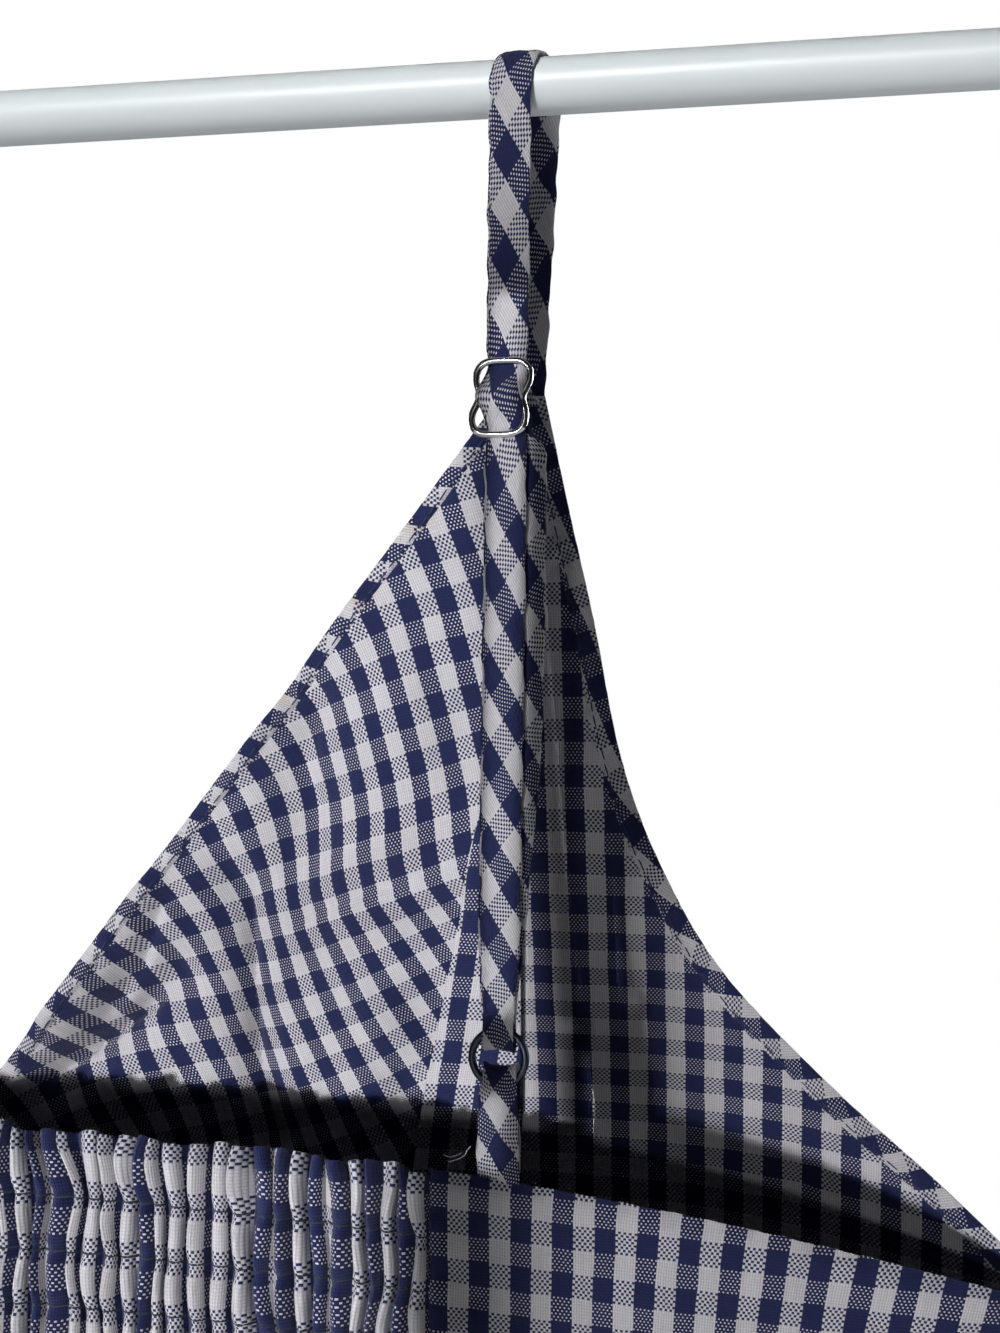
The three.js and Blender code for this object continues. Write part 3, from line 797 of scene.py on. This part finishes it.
def front_pieces(label, side):
    inner = front_grid(neck_x, lambda z: cup_seam_x(z) - HALF_GAP, APEX_Z, 110, 210)
    coords = check_coordinates(inner, CUP_CHECK)
    cup = cloth_shell(f"cup_{label}", mirrored(inner, side), coords, 1, f"front_inner_{label}")
    on_neck = inner[:, 0, 2] > V_Z + 1
    hem = stitched_hem("neck", label, side, inner[on_neck], coords[on_neck], HEM_WIDTH, False, 4, 1.15, 3)

    outer = front_grid(lambda z: cup_seam_x(z) + HALF_GAP, armhole_x, APEX_Z, 62, 160)
    x, z = outer[..., 0], outer[..., 2]
    u = (x - CUP_SEAM - 6.6) / CHECK - 0.0016 * (z + 150) * smooth_step(118, 150, x)
    v = z / lerp(9.3, 8.7, smooth_step(-150, -220, z)) + 0.010 * (x - 130) * smooth_step(140, 215, x)
    coords = np.stack([u, v], axis=-1)
    panel = cloth_shell(f"side_front_{label}", mirrored(outer, side), coords, 1, f"front_side_{label}")
    on_arm = outer[:, -1, 2] > SIDE_TOP_Z + 0.5
    hem = stitched_hem("armhole", label, side, outer[on_arm], coords[on_arm], ARM_HEM, True, 6, 1.2, 5)

    top = FACING_EDGE[0]["z"]
    strip = front_grid(facing_edge_x, lambda z: cup_seam_x(z) + 1, top, 24, 150)
    strip[..., 1] -= WALL + 2 * SEAM_GAP
    x, z = strip[..., 0], strip[..., 2]
    from_edge = x - facing_edge_x(z)
    strip[..., 1] += 0.5 * hump(from_edge, 1.2)
    pale = lerp(0.2, 2.9, smooth_step(-148, -216, z))
    coords = np.stack([(from_edge - pale) / CHECK, (z - FACING_STRIPE_Z) / FACING_REPEAT + 0.25], axis=-1)
    facing = cloth_shell(f"seam_strip_{label}", mirrored(strip, side), coords, 1, f"front_facing_{label}")


def back_grid(from_x, to_x, columns, rows):
    v, u = unit_grid(rows, columns)
    spread = lerp(from_x, to_x, u) + 0 * v
    z = lerp(back_top_z(spread), BUST_SEAM_Z + HALF_GAP, v)
    x = spread * lerp(1, bodice_half_width(z) / SIDE_X, np.abs(spread) / SIDE_X)
    return x, z


BACK_STRIPE_Z = -209.8      # where a navy cross stripe meets the gathers
BACK_REPEAT = 9.4
BACK_REPEAT_ACROSS = 8.2


def back_side(label, side):
    x, z = back_grid(SHIRR_X - 0.4, SIDE_X, 100, 70)
    below = back_top_z(x) - z
    ripple = waves(0.16, [7, 11, 17], 15, x, z) + waves(0.25, [5, 7.5], 16, x) * hump(below, 3)
    roll = 0.9 * hump(below, 1.6)
    pucker = waves(0.35, [4.2, 6.3], 18, z) * hump(x - SHIRR_X, 3)
    curl = -0.55 * hump(x - SHIRR_X - 1, 1.6) + 1.1 * hump(x - SHIRR_X + 0.4, 0.6)
    y = back_y(x, z) + ripple * smooth_step(0, 10, SIDE_X - x) + roll + pucker + curl
    points = np.stack([x, y, z], axis=-1)
    tip = 0.03 * smooth_step(120, 225, x) * below
    u = (x - SHIRR_X + 0.4) / BACK_REPEAT_ACROSS + tip
    v = (z + 0.09 * (x - SHIRR_X) - BACK_STRIPE_Z) / BACK_REPEAT + 0.5
    coords = np.stack([u, v], axis=-1)
    piece = cloth_shell(f"back_panel_{label}", mirrored(points, side), coords, -1, f"back_side_{label}")


# Gathered back

ELASTIC_ROWS = 8
ROW_FIRST = 13.6        # the first elastic row below the top edge
ROW_STEP = 11.2
GATHER = 3.9            # usual width of a gather
NAVY_SHARE = 0.43       # how many gathers show a navy long stripe on their crest
STEPS = 12              # points across a gather
ROWS = 68               # points down a gather


def shirred_back():
    """Round gathers with narrow gaps between, drawn in at each row of elastic."""
    draw = np.random.default_rng(23)
    count = int(round(2 * SHIRR_X / GATHER))
    navy_crest = draw.random(count) < NAVY_SHARE
    advance = np.where(np.diff(navy_crest, prepend=navy_crest[0]), 0.5, 1.0)
    crest_u = 0.75 + np.where(navy_crest[0], 0.5, 0) + np.cumsum(advance) + draw.normal(0, 0.06, count)
    widths = draw.uniform(0.78, 1.2, count) * (0.45 + 0.6 * advance)
    widths *= 2 * (SHIRR_X + 0.2) / widths.sum()
    edges = running(widths) - SHIRR_X - 0.2
    fullness = draw.uniform(0.8, 1.2, count) * (0.72 + 0.28 * widths / GATHER)
    nudge = draw.normal(0, 0.8, count)
    topples = draw.normal(0, 0.85, count)
    t = (np.arange(count * STEPS + 1) / STEPS)[None, :]
    which = np.minimum(t.astype(int), count - 1)
    part = t - which

    def by_gather(values):
        return np.interp(t, np.arange(count) + 0.5, values)

    v = np.linspace(0, 1, ROWS + 1)[:, None]
    base = edges[which] + widths[which] * part
    top = back_top_z(base)
    height = top - BUST_SEAM_Z - HALF_GAP
    below = height * v
    z = top - below
    since = (below - ROW_FIRST) / ROW_STEP
    pinch = hump((since - np.round(since)) * ROW_STEP, 1.7) * (since > -0.4)
    head = 1 - smooth_step(0, ROW_FIRST, below)
    angle = 2 * math.pi * part
    rise = by_gather(fullness) * (1 - 0.42 * pinch) * (1.75 + 0.3 * head)
    crest = ((1 - np.cos(angle)) / 2) ** 1.2
    y = back_y(base, z) + 0.5 - 2 * rise * crest + 0.5
    bulge = 0.125 * (1 - 0.5 * pinch) * widths[which] * np.sin(angle)
    header = np.sin(math.pi * np.clip(below / ROW_FIRST, 0, 1)) + 0.3 * head
    sway = nudge[which] * np.sin(math.pi * part) ** 2 * header
    near_side = smooth_step(0, 3, SHIRR_X - np.abs(base))
    drift = waves(0.5, [31, 53], 25, base + 0 * v, below * 1.6)
    topple = by_gather(topples) * head
    lengths = draw.uniform(17, 34, count)
    starts = draw.uniform(0, 2 * math.pi, count)
    sizes = draw.uniform(0.2, 0.75, count)
    level = below[:, below.shape[1] // 2][:, None]
    lean = sizes * np.sin(2 * math.pi * level / lengths + starts)
    wander = np.concatenate([by_gather(row) for row in lean])
    x = base - bulge + (sway + drift + topple + wander) * near_side
    uneven = by_gather(draw.normal(0, 0.5, count))
    z = z + (1.0 * crest - 0.9 + uneven) * hump(below, 4.0)
    y = y + 1.1 * hump(below, 1.2) * crest
    points = np.stack([x, y, z], axis=-1)
    steps = np.linalg.norm(np.diff(points[6:20], axis=1), axis=2).mean(axis=0)
    run = running(steps)
    tops = run[np.arange(count) * STEPS + STEPS // 2]
    past_ends = np.minimum(run - tops[0], 0) / CHECK + np.maximum(run - tops[-1], 0) / CHECK
    u = (np.interp(run, tops, crest_u) + past_ends)[None, :] + 0 * below
    coords = np.stack([u, (4.2 - below) / 11.3], axis=-1)
    piece = cloth_shell("gathered_back", points, coords, -1, "back_shirred")
    elastic_rows(points, below, count)


def elastic_rows(points, below, count):
    """Elastic thread bowed over each gather, in rows."""
    parts = []
    level = below[:, below.shape[1] // 2]
    for row in range(ELASTIC_ROWS):
        i = int(np.argmin(np.abs(level - ROW_FIRST - row * ROW_STEP)))
        line = points[i]
        for k in range(count):
            middle = k * STEPS + STEPS // 2
            spots = line[[middle - 5, middle - 3, middle, middle + 3, middle + 5]]
            lift = np.array([-0.1, -0.32, -0.4, -0.32, -0.1])[:, None] * np.array([[0, 1, 0]])
            parts.append(tube(spots + lift, 0.26, 6))
    join_tubes("elastic_thread", parts, GREY_THREAD)


# Round wires, threads and stitches

def circles(path, across, lift, radius, sides):
    """Circles of points, one about each point of a path."""
    angles = (2 * math.pi * np.arange(sides) / sides)[None, :, None]
    turned = np.cos(angles) * across[:, None, :] + np.sin(angles) * lift[:, None, :]
    return (path[:, None, :] + radius * turned).reshape(-1, 3)


def band_faces(count, bands, sides):
    """Quads between each circle and the next, all the way round."""
    faces = []
    for i in range(bands):
        for k in range(sides):
            here, there, turn = i * sides, (i + 1) % count * sides, (k + 1) % sides
            faces.append((here + k, there + k, there + turn, here + turn))
    return faces


ANY_UP = np.array([0.12, 0.97, 0.21])    # a direction that no tube here runs along


def tube(path, radius, sides):
    """Points and faces of a round closed tube along a path in millimetres."""
    path = np.asarray(path, float)
    forward = unit(np.gradient(path, axis=0))
    across = unit(np.cross(forward, ANY_UP))
    lift = np.cross(across, forward)
    radius = np.broadcast_to(np.asarray(radius, float), (len(path),))
    points = circles(path, across, lift, radius[:, None, None], sides)
    faces = band_faces(len(path), len(path) - 1, sides)
    faces.append(tuple(range(sides)))
    end = (len(path) - 1) * sides
    faces.append(tuple(end + k for k in reversed(range(sides))))
    return points, faces


def join_tubes(name, parts, material):
    points, faces, base = [], [], 0
    for spots, quads in parts:
        points.append(spots)
        faces.extend([tuple(base + i for i in quad) for quad in quads])
        base += len(spots)
    mesh_object(name, np.concatenate(points), faces, None, material)


def closed_wire(name, outline, radius, sides, material, node):
    """A round wire along a closed outline."""
    path = np.asarray(outline, float)
    forward = unit(np.roll(path, -1, axis=0) - np.roll(path, 1, axis=0))
    lift = np.array([[0.0, 1.0, 0.0]])
    across = np.cross(forward, lift)
    faces = [face[:1] + face[:0:-1] for face in band_faces(len(path), len(path), sides)]
    mesh_object(name, circles(path, across, lift, radius, sides), faces, None, material, node, 180)


# Strap

STRAP_ROD_R = ROD_RADIUS + SEAM_GAP + STRAP_WALL / 2
RING_TOP = RING_Z + RING_RADIUS
RING_FOOT = RING_Z - RING_RADIUS
RUN_CLOSED = STRAP_WALL / 2 + 0.18
RUN_OPEN = RING_WIRE + SEAM_GAP + STRAP_WALL / 2
RUN_TOP_Y = -6.75       # middle of the two runs at the slider
STRAP_WAIST = 6.3       # the strap's width where it is drawn through the ring
TAB_WAIST = STRAP_WAIST + 0.6
TAB_TOP = -209          # where the tab meets the back's top edge
TAB_FOOT = -222
RING_BEND = 3.2         # how deep the loops hang into the ring
SLIDER_BAR = 3.7        # half the length of the slider's centre bar
BAR_WIDTH = 6.8         # the strap's width round that bar
LOOP_END_Z = -69        # where the far run turns in to the bar
CUP_X = 124.6           # middle of the strap at the cup, over the rod and at the ring
ROD_FRONT_X = 128.5
ROD_BACK_X = 125.2
RING_X = 123.7
STRAP_DIAMOND_Z = -13.9     # where a navy diamond of the check lies in the middle
TAB_DIAMOND_Z = -206.0

# The check's repeat down the strap, drawn longer where the strap carries the weight
STRAP_REPEATS = table(
    "z repeat",
    (10, 20.9), (-42, 20.9), (-60, 24.6), (-76, 22.0), (-88, 18.9),
    (-110, 18.2), (-140, 16.3), (-222, 15.8),
)


def run_middle_y(z):
    return lerp(RUN_TOP_Y, RING_Y, (z - SLIDER_Z) / (RING_TOP - SLIDER_Z))


def run_spread(z):
    return lerp(RUN_CLOSED, RUN_OPEN, 1 - smooth_step(RING_TOP + 1, RING_TOP + 9, z))


def strap_width(z):
    over_bar = hump(z - SLIDER_Z, 3.2)
    drawn_in = 0.7 * hump(z - SLIDER_Z - 7, 3) + 0.7 * hump(z - SLIDER_Z + 7, 3)
    full = STRAP_WIDTH + 0.9 * over_bar - drawn_in
    return lerp(STRAP_WAIST, full, smooth_step(RING_Z + 6, RING_Z + 24, z))


def strap_x(z):
    return lerp(ROD_BACK_X, RING_X, z / RING_Z) - 0.8 * hump(z - SLIDER_Z, 3.4)


FRONT_RUN_TOP_Y = RUN_TOP_Y - RUN_CLOSED
SLIDER_Y = FRONT_RUN_TOP_Y - STRAP_WALL / 2 - SEAM_GAP - WIRE


def near_run_y(z):
    bump = 2 * (WIRE + SEAM_GAP + STRAP_WALL / 2) * hump(z - SLIDER_Z, 3.4)
    upper = lerp(-STRAP_ROD_R, FRONT_RUN_TOP_Y, z / SLIDER_Z)
    lower = run_middle_y(z) - run_spread(z)
    return np.where(z > SLIDER_Z, upper, lower) - bump


def strap_row(x, y, z):
    bend = 1 - smooth_step(RING_TOP + 1, RING_TOP + 7, z)
    return x, float(y), z, float(strap_width(z)), float(bend)


def ring_rows(x, z, bend, width, count):
    """Rows of a loop through the ring, round its edge at z."""
    angles = math.pi * np.linspace(0, 1, count)
    return [(x, RING_Y - RUN_OPEN * math.cos(a), z - bend * RING_BEND * math.sin(a), width, bend)
            for a in angles]


def strap_path():
    """Rows of x, y, z, width and bend along a ring's arc, down the middle of the strap."""
    rows = []
    cup_y = float(front_y(np.array((APEX_IN + APEX_OUT) / 2), np.array(APEX_Z)))
    for t in np.linspace(0, 1, 60, endpoint=False):
        y = lerp(cup_y, STRAP_ROD_R, t)
        rows.append((lerp(CUP_X, ROD_FRONT_X, t), y, lerp(APEX_Z - 2, 0, t), STRAP_WIDTH, 0))
    for t in np.linspace(0, 1, 28):
        angle = math.pi * t
        x = lerp(ROD_FRONT_X, ROD_BACK_X, t)
        rows.append((x, STRAP_ROD_R * math.cos(angle), STRAP_ROD_R * math.sin(angle), STRAP_WIDTH, 0))
    for z in np.linspace(-1, RING_TOP + 0.8, 230):
        rows.append(strap_row(strap_x(z), near_run_y(z), z))
    rows += ring_rows(strap_x(RING_Z), RING_TOP, 1, STRAP_WAIST, 18)
    for z in np.linspace(RING_TOP + 0.8, LOOP_END_Z, 150):
        out = 3.6 * float(smooth_step(-182, -120, z)) * float(smooth_step(-66, -74, z))
        rows.append(strap_row(strap_x(z) + out, run_middle_y(z) + run_spread(z), z))
    bar_back = SLIDER_Y + WIRE + SEAM_GAP + STRAP_WALL / 2
    rows.append((strap_x(SLIDER_Z) + 0.6, bar_back + 0.5, SLIDER_Z - 3.2, BAR_WIDTH, 0))
    rows.append((strap_x(SLIDER_Z), bar_back, SLIDER_Z, BAR_WIDTH, 0))
    return np.array(rows)


def squared(wave, power):
    """A wave made fuller, as a flattened tube's outline is; its sign stays."""
    return np.sign(wave) * np.abs(wave) ** power


def tape_mesh(name, node, rows, side, seed, diamond_z):
    """A turned-out tube of bias-cut cloth, sewn shut near one edge; the check lies across it as diamonds.
    The rows' last column is how far the tape bends along a ring's arc, up or down. A navy diamond is
    centred where the tape first comes down to diamond_z."""
    path = rows[:, :3]
    forward = np.gradient(path, axis=0)
    forward[:, 0] = 0
    forward = unit(forward)
    across = np.stack([0 * forward[:, 0], -forward[:, 2], forward[:, 1]], axis=1)
    steps = np.linalg.norm(np.diff(path, axis=0), axis=1)
    run = running(steps)
    columns = 36
    angles = math.radians(207) + 2 * math.pi * np.linspace(0.004, 0.996, columns + 1)
    wide = squared(np.cos(angles), 0.72)
    thick = squared(np.sin(angles), 0.8)
    turn = np.abs(np.arange(columns + 1) - columns / 2) / (columns / 2)
    sewn = 0.34 * hump((1 - turn) * columns, 2.2)
    half = rows[:, 3] / 2 * (1 + waves(0.028, [5.2, 8.6, 13], seed, run))
    wobble = waves(0.10, [9, 17, 29], seed + 1, run)
    crown = np.clip(1 - 0.2 * wide**2, 0.4, 1.1)
    flat = 0 * run[:, None] * wide[None, :]
    bumps = waves(0.10, [3.4, 4.6], seed + 2, run[:, None] + flat, 5.0 * wide[None, :] + flat)
    layers = []
    for inset in (0.0, CLOTH):
        reach = np.maximum(half - inset, 0.5)[:, None] * wide[None, :]
        height = np.maximum(STRAP_WALL / 2 * crown - inset * 0.8 - sewn, 0.05)[None, :] * thick[None, :]
        if inset == 0:
            height = height + bumps * np.sign(thick)[None, :] * np.abs(thick)[None, :]
        x = (rows[:, 0] + wobble)[:, None] + reach
        spots = np.stack([x, rows[:, 1:2] + 0 * reach, rows[:, 2:3] + 0 * reach], axis=-1)
        spots = spots + height[..., None] * across[:, None, :]
        arc = RING_RADIUS - np.sqrt(np.maximum(RING_RADIUS**2 - reach**2, 4))
        spots[..., 2] -= rows[:, 4:5] * arc
        spots[..., 0] *= side
        layers.append(spots.reshape(-1, 3))
    half_width, half_wall = STRAP_WIDTH / 2, STRAP_WALL / 2
    girth = running(np.hypot(np.diff(wide) * half_width, np.diff(thick) * half_wall))
    girth = (girth - np.interp(math.radians(270), angles, girth))[None, :] * (half / half_width)[:, None]
    phase = running(steps / read_table(STRAP_REPEATS, "z", "repeat", rows[1:, 2]))
    first = int(np.argmax((rows[:, 2] < diamond_z) & (np.gradient(rows[:, 2]) < 0)))
    along = (phase - phase[first] + 0.25)[:, None] + 0 * girth
    lower = smooth_step(-48, -82, rows[:, 2:3])
    girth = girth + 0.4 + 1.9 * lower
    uv = np.stack([along - girth / lerp(11.6, 9.8, lower), along + girth / 11.6], axis=-1).reshape(-1, 2)
    faces = shell_faces(len(rows) - 1, columns, side > 0)
    uvs = np.concatenate([uv, uv])
    piece = mesh_object(name, np.concatenate(layers), faces, uvs, TAPE, node, 80)
    return piece, float(run[-1]) * MM


def tab_path():
    """The tab's rows, as the strap's: up inside the back, round the ring's foot and down again."""
    rows = []
    x = strap_x(RING_Z) + 0.4
    inside = float(back_y(np.array(x), np.array(-215.0))) + WALL / 2 + SEAM_GAP + STRAP_WALL / 2
    for t in np.linspace(0, 1, 20):
        rows.append((x, inside, lerp(TAB_FOOT, TAB_TOP, t), STRAP_WIDTH, 0))
    for t in np.linspace(0.08, 1, 16):
        y = lerp(inside, RING_Y - RUN_OPEN, t)
        rows.append((x, y, lerp(TAB_TOP, RING_FOOT - 0.6, t), lerp(STRAP_WIDTH, TAB_WAIST, t**2), -t))
    rows += ring_rows(x, RING_FOOT, -1, TAB_WAIST, 16)
    back = inside + STRAP_WALL + SEAM_GAP
    for t in np.linspace(0, 0.9, 14):
        y = lerp(RING_Y + RUN_OPEN, back, t)
        rows.append((x, y, lerp(RING_FOOT - 0.6, TAB_TOP, t), lerp(TAB_WAIST, STRAP_WIDTH, t), t - 1))
    for t in np.linspace(0, 1, 20):
        rows.append((x, back, lerp(TAB_TOP, TAB_FOOT, t), STRAP_WIDTH, 0))
    return np.array(rows)


def slider_outline():
    """The wire frame: a rounded rectangle pinched at the centre bar."""
    width, height, corner, waist, skew, power = 11.3, 14.3, 3.4, 1.3, 0.6, 4
    angle = 2 * math.pi * (np.arange(96) + 0.5) / 96
    c, s = np.cos(angle), np.sin(angle)
    reach = (np.abs(c) ** power + np.abs(s) ** power) ** (-1 / power)
    z = height / 2 * s * reach
    pinch = waist * hump(z, corner * 0.75)
    x = (width / 2 - pinch) * c * reach + skew * np.sin(math.pi * z / height)
    return np.stack([x, 0 * x, z], axis=1)


def hardware(label, side):
    place = np.array([side * strap_x(SLIDER_Z), SLIDER_Y, SLIDER_Z])
    outline = slider_outline() * np.array([side, 1, 1]) + place
    if side < 0:
        outline = outline[::-1]
    closed_wire(f"slider_wire_{label}", outline, WIRE, 16, SILVER, f"slider_{label}")
    bar = tube([place + [-SLIDER_BAR, 0, 0], place, place + [SLIDER_BAR, 0, 0]], WIRE * 0.9, 12)
    join_tubes(f"slider_bar_{label}", [bar], SILVER)
    angle = 2 * math.pi * np.arange(72) / 72
    centre = np.array([side * strap_x(RING_Z), RING_Y, RING_Z])
    circle = centre + RING_RADIUS * np.stack([np.cos(angle), 0 * angle, np.sin(angle)], axis=1)
    closed_wire(f"loop_ring_{label}", circle, RING_WIRE, 14, GUNMETAL, f"ring_{label}")


def straps(label, side):
    names = f"shoulder_strap_{label}", f"strap_{label}"
    piece, length = tape_mesh(*names, strap_path(), side, 31, STRAP_DIAMOND_Z)
    names = f"ring_loop_{label}", f"ring_tab_{label}"
    tab, tab_length = tape_mesh(*names, tab_path(), side, 37, TAB_DIAMOND_Z)


# Loose ends of thread at the top of the back panels' seams, each as x and z from the seam's top
FRAYED = table(
    "path out",
    (((4.4, -4.0), (6.0, -3.2), (7.6, -2.3), (8.2, -0.8)), 0.7),
    (((3.0, -2.6), (4.6, -3.0), (6.4, -2.2)), 0.5),
)


def frayed_threads(label, side):
    parts = []
    for row in FRAYED:
        bends = np.array(row["path"])
        t = np.linspace(0, len(bends) - 1, 18)
        x = SHIRR_X + np.interp(t, np.arange(len(bends)), bends[:, 0])
        z = BACK_TOP_Z + np.interp(t, np.arange(len(bends)), bends[:, 1])
        curl = 0.25 * np.sin(3.1 * t + len(bends))
        path = np.stack([x + curl, back_y(x, z) - row["out"] - 0.3 * np.sin(2.3 * t), z], axis=1)
        parts.append(tube(mirrored(path, side), 0.11, 6))
    join_tubes(f"frayed_threads_{label}", parts, PALE_THREAD)


# Skirt

def skirt(name, facing, folds, hem_depth, bodice_y, node, seed):
    columns, rows = 240, 76
    v = np.linspace(0, 1, rows + 1)[:, None]
    across = np.linspace(-1, 1, columns + 1)[None, :] + 0 * v
    fall = v**0.9
    half = lerp(WAIST_X, HEM_X, fall)
    z = lerp(BUST_SEAM_Z - HALF_GAP, HEM_Z, v) + 0 * across
    waist_y = bodice_y(np.abs(across) * WAIST_X, np.full(across.shape, float(BUST_SEAM_Z)))
    hem_y = facing * (SIDE_Y + hem_depth * np.maximum(0, 1 - np.abs(across) ** 2.2) ** 0.8)
    turn = folds * math.pi * (across + 0.05 * np.sin(5 * across + facing))
    uneven = 0.78 + 0.22 * np.sin(9 * across + 2 * facing)
    edge = 1 - smooth_step(0.8, 0.97, np.abs(across))
    rise = 8 * np.minimum(1, 1.15 * v**0.7) * uneven * edge
    plain = lerp(waist_y, hem_y, smooth_step(0, 1, fall))
    pleats = np.sin(64 * math.pi * across + waves(1.5, [0.3, 0.7], seed, across))
    gather = 0.9 * pleats * np.exp(-v / 0.07) * edge
    small = waves(0.5, [33, 47, 71], seed + 1, across * half, z * 0.12) * smooth_step(0, 0.2, v) * edge
    y = plain + facing * (rise * np.cos(turn) * smooth_step(0, 0.08, v) + gather + small)
    points = np.stack([across * half, y, z], axis=-1)
    steps = np.linalg.norm(np.diff(points, axis=1), axis=2)
    run = np.apply_along_axis(running, 1, steps)
    u = (run - run[:, [columns // 2]]) / CHECK
    coords = np.stack([u, z / CHECK], axis=-1)
    piece = cloth_shell(name, points, coords, facing, node)


# Rod

def rod():
    """A moulded tube with soft end corners."""
    half, corner = ROD_LENGTH / 2, 0.8
    rims = [(-half, ROD_RADIUS - corner), (-half + 0.25, ROD_RADIUS - 0.25), (-half + corner, ROD_RADIUS)]
    for place in np.linspace(-half + 6, half - 6, 60):
        rims.append((place, ROD_RADIUS))
    rims += [(half - corner, ROD_RADIUS), (half - 0.25, ROD_RADIUS - 0.25), (half, ROD_RADIUS - corner)]
    path = np.array([(x, 0, 0) for x, _ in rims])
    points, faces = tube(path, [radius for _, radius in rims], 96)
    mesh_object("rod_tube", points, faces, None, PLASTIC, "rod", 40)


# Build everything
rod()

for label, side in (("right", 1), ("left", -1)):
    front_pieces(label, side)
    back_side(label, side)
    hardware(label, side)
    straps(label, side)
    frayed_threads(label, side)
shirred_back()
skirt("skirt_front_cloth", 1, 9, HEM_FRONT_DEPTH, front_y, "skirt_front", 51)
skirt("skirt_back_cloth", -1, 11, HEM_BACK_DEPTH, back_y, "skirt_back", 61)


# Camera, light and floor

def metres(x, y, z):
    return np.array([x, y, z]) * MM


AIM = metres(123.0, -6.0, -114.8)
DISTANCE = 0.45
YAW = math.radians(13.5)
FOCAL_PX = 2295
FRAME_HEIGHT_PX = 1333

camera = bpy.data.objects.new("camera", bpy.data.cameras.new("camera"))
bpy.context.scene.collection.objects.link(camera)
camera.data.sensor_width = 36
camera.data.lens = 36 * FOCAL_PX / FRAME_HEIGHT_PX
camera.location = (AIM[0] + DISTANCE * math.sin(YAW), AIM[1] - DISTANCE * math.cos(YAW), AIM[2])
camera.rotation_euler = (math.pi / 2, 0, YAW)
camera.data.clip_start = 0.01
bpy.context.scene.camera = camera


def aim_light(name, away, distance, power, target=AIM):
    """A light on a line away from its target, turned to it."""
    direction = np.array(away, float)
    direction /= np.linalg.norm(direction)
    light = bpy.data.objects.new(name, bpy.data.lights.new(name, "AREA"))
    light.data.energy = power
    light.location = target + direction * distance
    heading = math.atan2(direction[1], direction[0]) + math.pi / 2
    light.rotation_euler = (math.acos(direction[2]), 0, heading)
    light.visible_camera = False
    bpy.context.scene.collection.objects.link(light)
    return light.data


# Where the softboxes point: each keeps to its own part, so that the panel beside the strap stays dark
CUP_MIDDLE = metres(-96.0, 15.0, -160.0)
SKIRT_MIDDLE = metres(0.0, 0.0, -590.0)
STRAP_MIDDLE = metres(124.2, -10.0, -112.0)
TAB_MIDDLE = metres(123.0, -10.0, -205.0)
LOW_RIGHT = metres(207.0, 20.0, -205.0)
ROD_MIDDLE = metres(0.0, 0.0, 6.0)


def softbox(name, away, distance, power, target, wide, tall, spread=180):
    """A rectangular light whose grid keeps its beam within the spread, in degrees."""
    box = aim_light(name, away, distance, power, target)
    box.shape, box.size, box.size_y = "RECTANGLE", wide, tall
    box.spread = math.radians(spread)


softbox("key", (-0.11, -0.992, -0.055), 1.7, 2.1, AIM, 0.18, 0.08)
softbox("cup_box", (-0.35, -0.935, -0.03), 0.36, 0.285, CUP_MIDDLE, 0.40, 0.21, 2.6)
softbox("skirt_box", (-0.35, -0.935, 0), 0.6, 1.15, SKIRT_MIDDLE, 0.72, 0.66, 2.6)
softbox("strap_box", (-0.35, -0.935, 0), 0.25, 0.0025, STRAP_MIDDLE, 0.0062, 0.14, 1.2)
softbox("tab_box", (-0.35, -0.935, 0), 0.25, 0.0002, TAB_MIDDLE, 0.0062, 0.014, 1.2)
softbox("low_right_box", (-0.45, -0.87, -0.15), 0.36, 0.0205, LOW_RIGHT, 0.10, 0.10, 6)
softbox("rod_box", (-0.2, -0.9, 0.38), 0.6, 0.084, ROD_MIDDLE, 0.60, 0.055, 6)
FILLS = table(
    "name away power",
    ("front_fill", (0.3, 0.93, 0.12), 18),
    ("right_fill", (0.88, 0.47, 0.05), 8),
    ("left_fill", (-0.88, 0.47, 0.05), 8),
)
for row in FILLS:
    fill = aim_light(row["name"], row["away"], 2.0, row["power"])
    fill.shape, fill.size = "DISK", 1.0

world = bpy.data.worlds.new("studio")
bpy.context.scene.world = world
world.use_nodes = True
sky = world.node_tree.nodes["Background"]
sky.inputs["Color"].default_value = (1, 1, 1, 1)
seen = world.node_tree.nodes.new("ShaderNodeLightPath")
glow = world.node_tree.nodes.new("ShaderNodeMapRange")
glow.inputs["To Min"].default_value = 0.012
glow.inputs["To Max"].default_value = 1.0
world.node_tree.links.new(seen.outputs["Is Camera Ray"], glow.inputs["Value"])
world.node_tree.links.new(glow.outputs["Result"], sky.inputs["Strength"])
bpy.context.scene.view_settings.view_transform = "Standard"

floor_mesh = bpy.data.meshes.new("floor")
reach = 1.3
floor_z = HEM_Z * MM - 0.09
corners = [(x * reach, y * reach, floor_z) for x, y in ((-1, -1), (1, -1), (1, 1), (-1, 1))]
floor_mesh.from_pydata(corners, [], [(0, 1, 2, 3)])
floor = bpy.data.objects.new("floor", floor_mesh)
bpy.context.scene.collection.objects.link(floor)
paint = Nodes("floor_paint")
ground = paint.place()
greys = paint.mix(paint.noise(ground, 3.0), (0.80, 0.80, 0.80, 1), (0.86, 0.86, 0.86, 1))
paint.shade("Base Color", greys)
paint.shade("Roughness", 0.7)
paint.shade("Emission Color", (1, 1, 1, 1))
paint.shade("Emission Strength", 0.28)
floor_mesh.materials.append(paint.material)
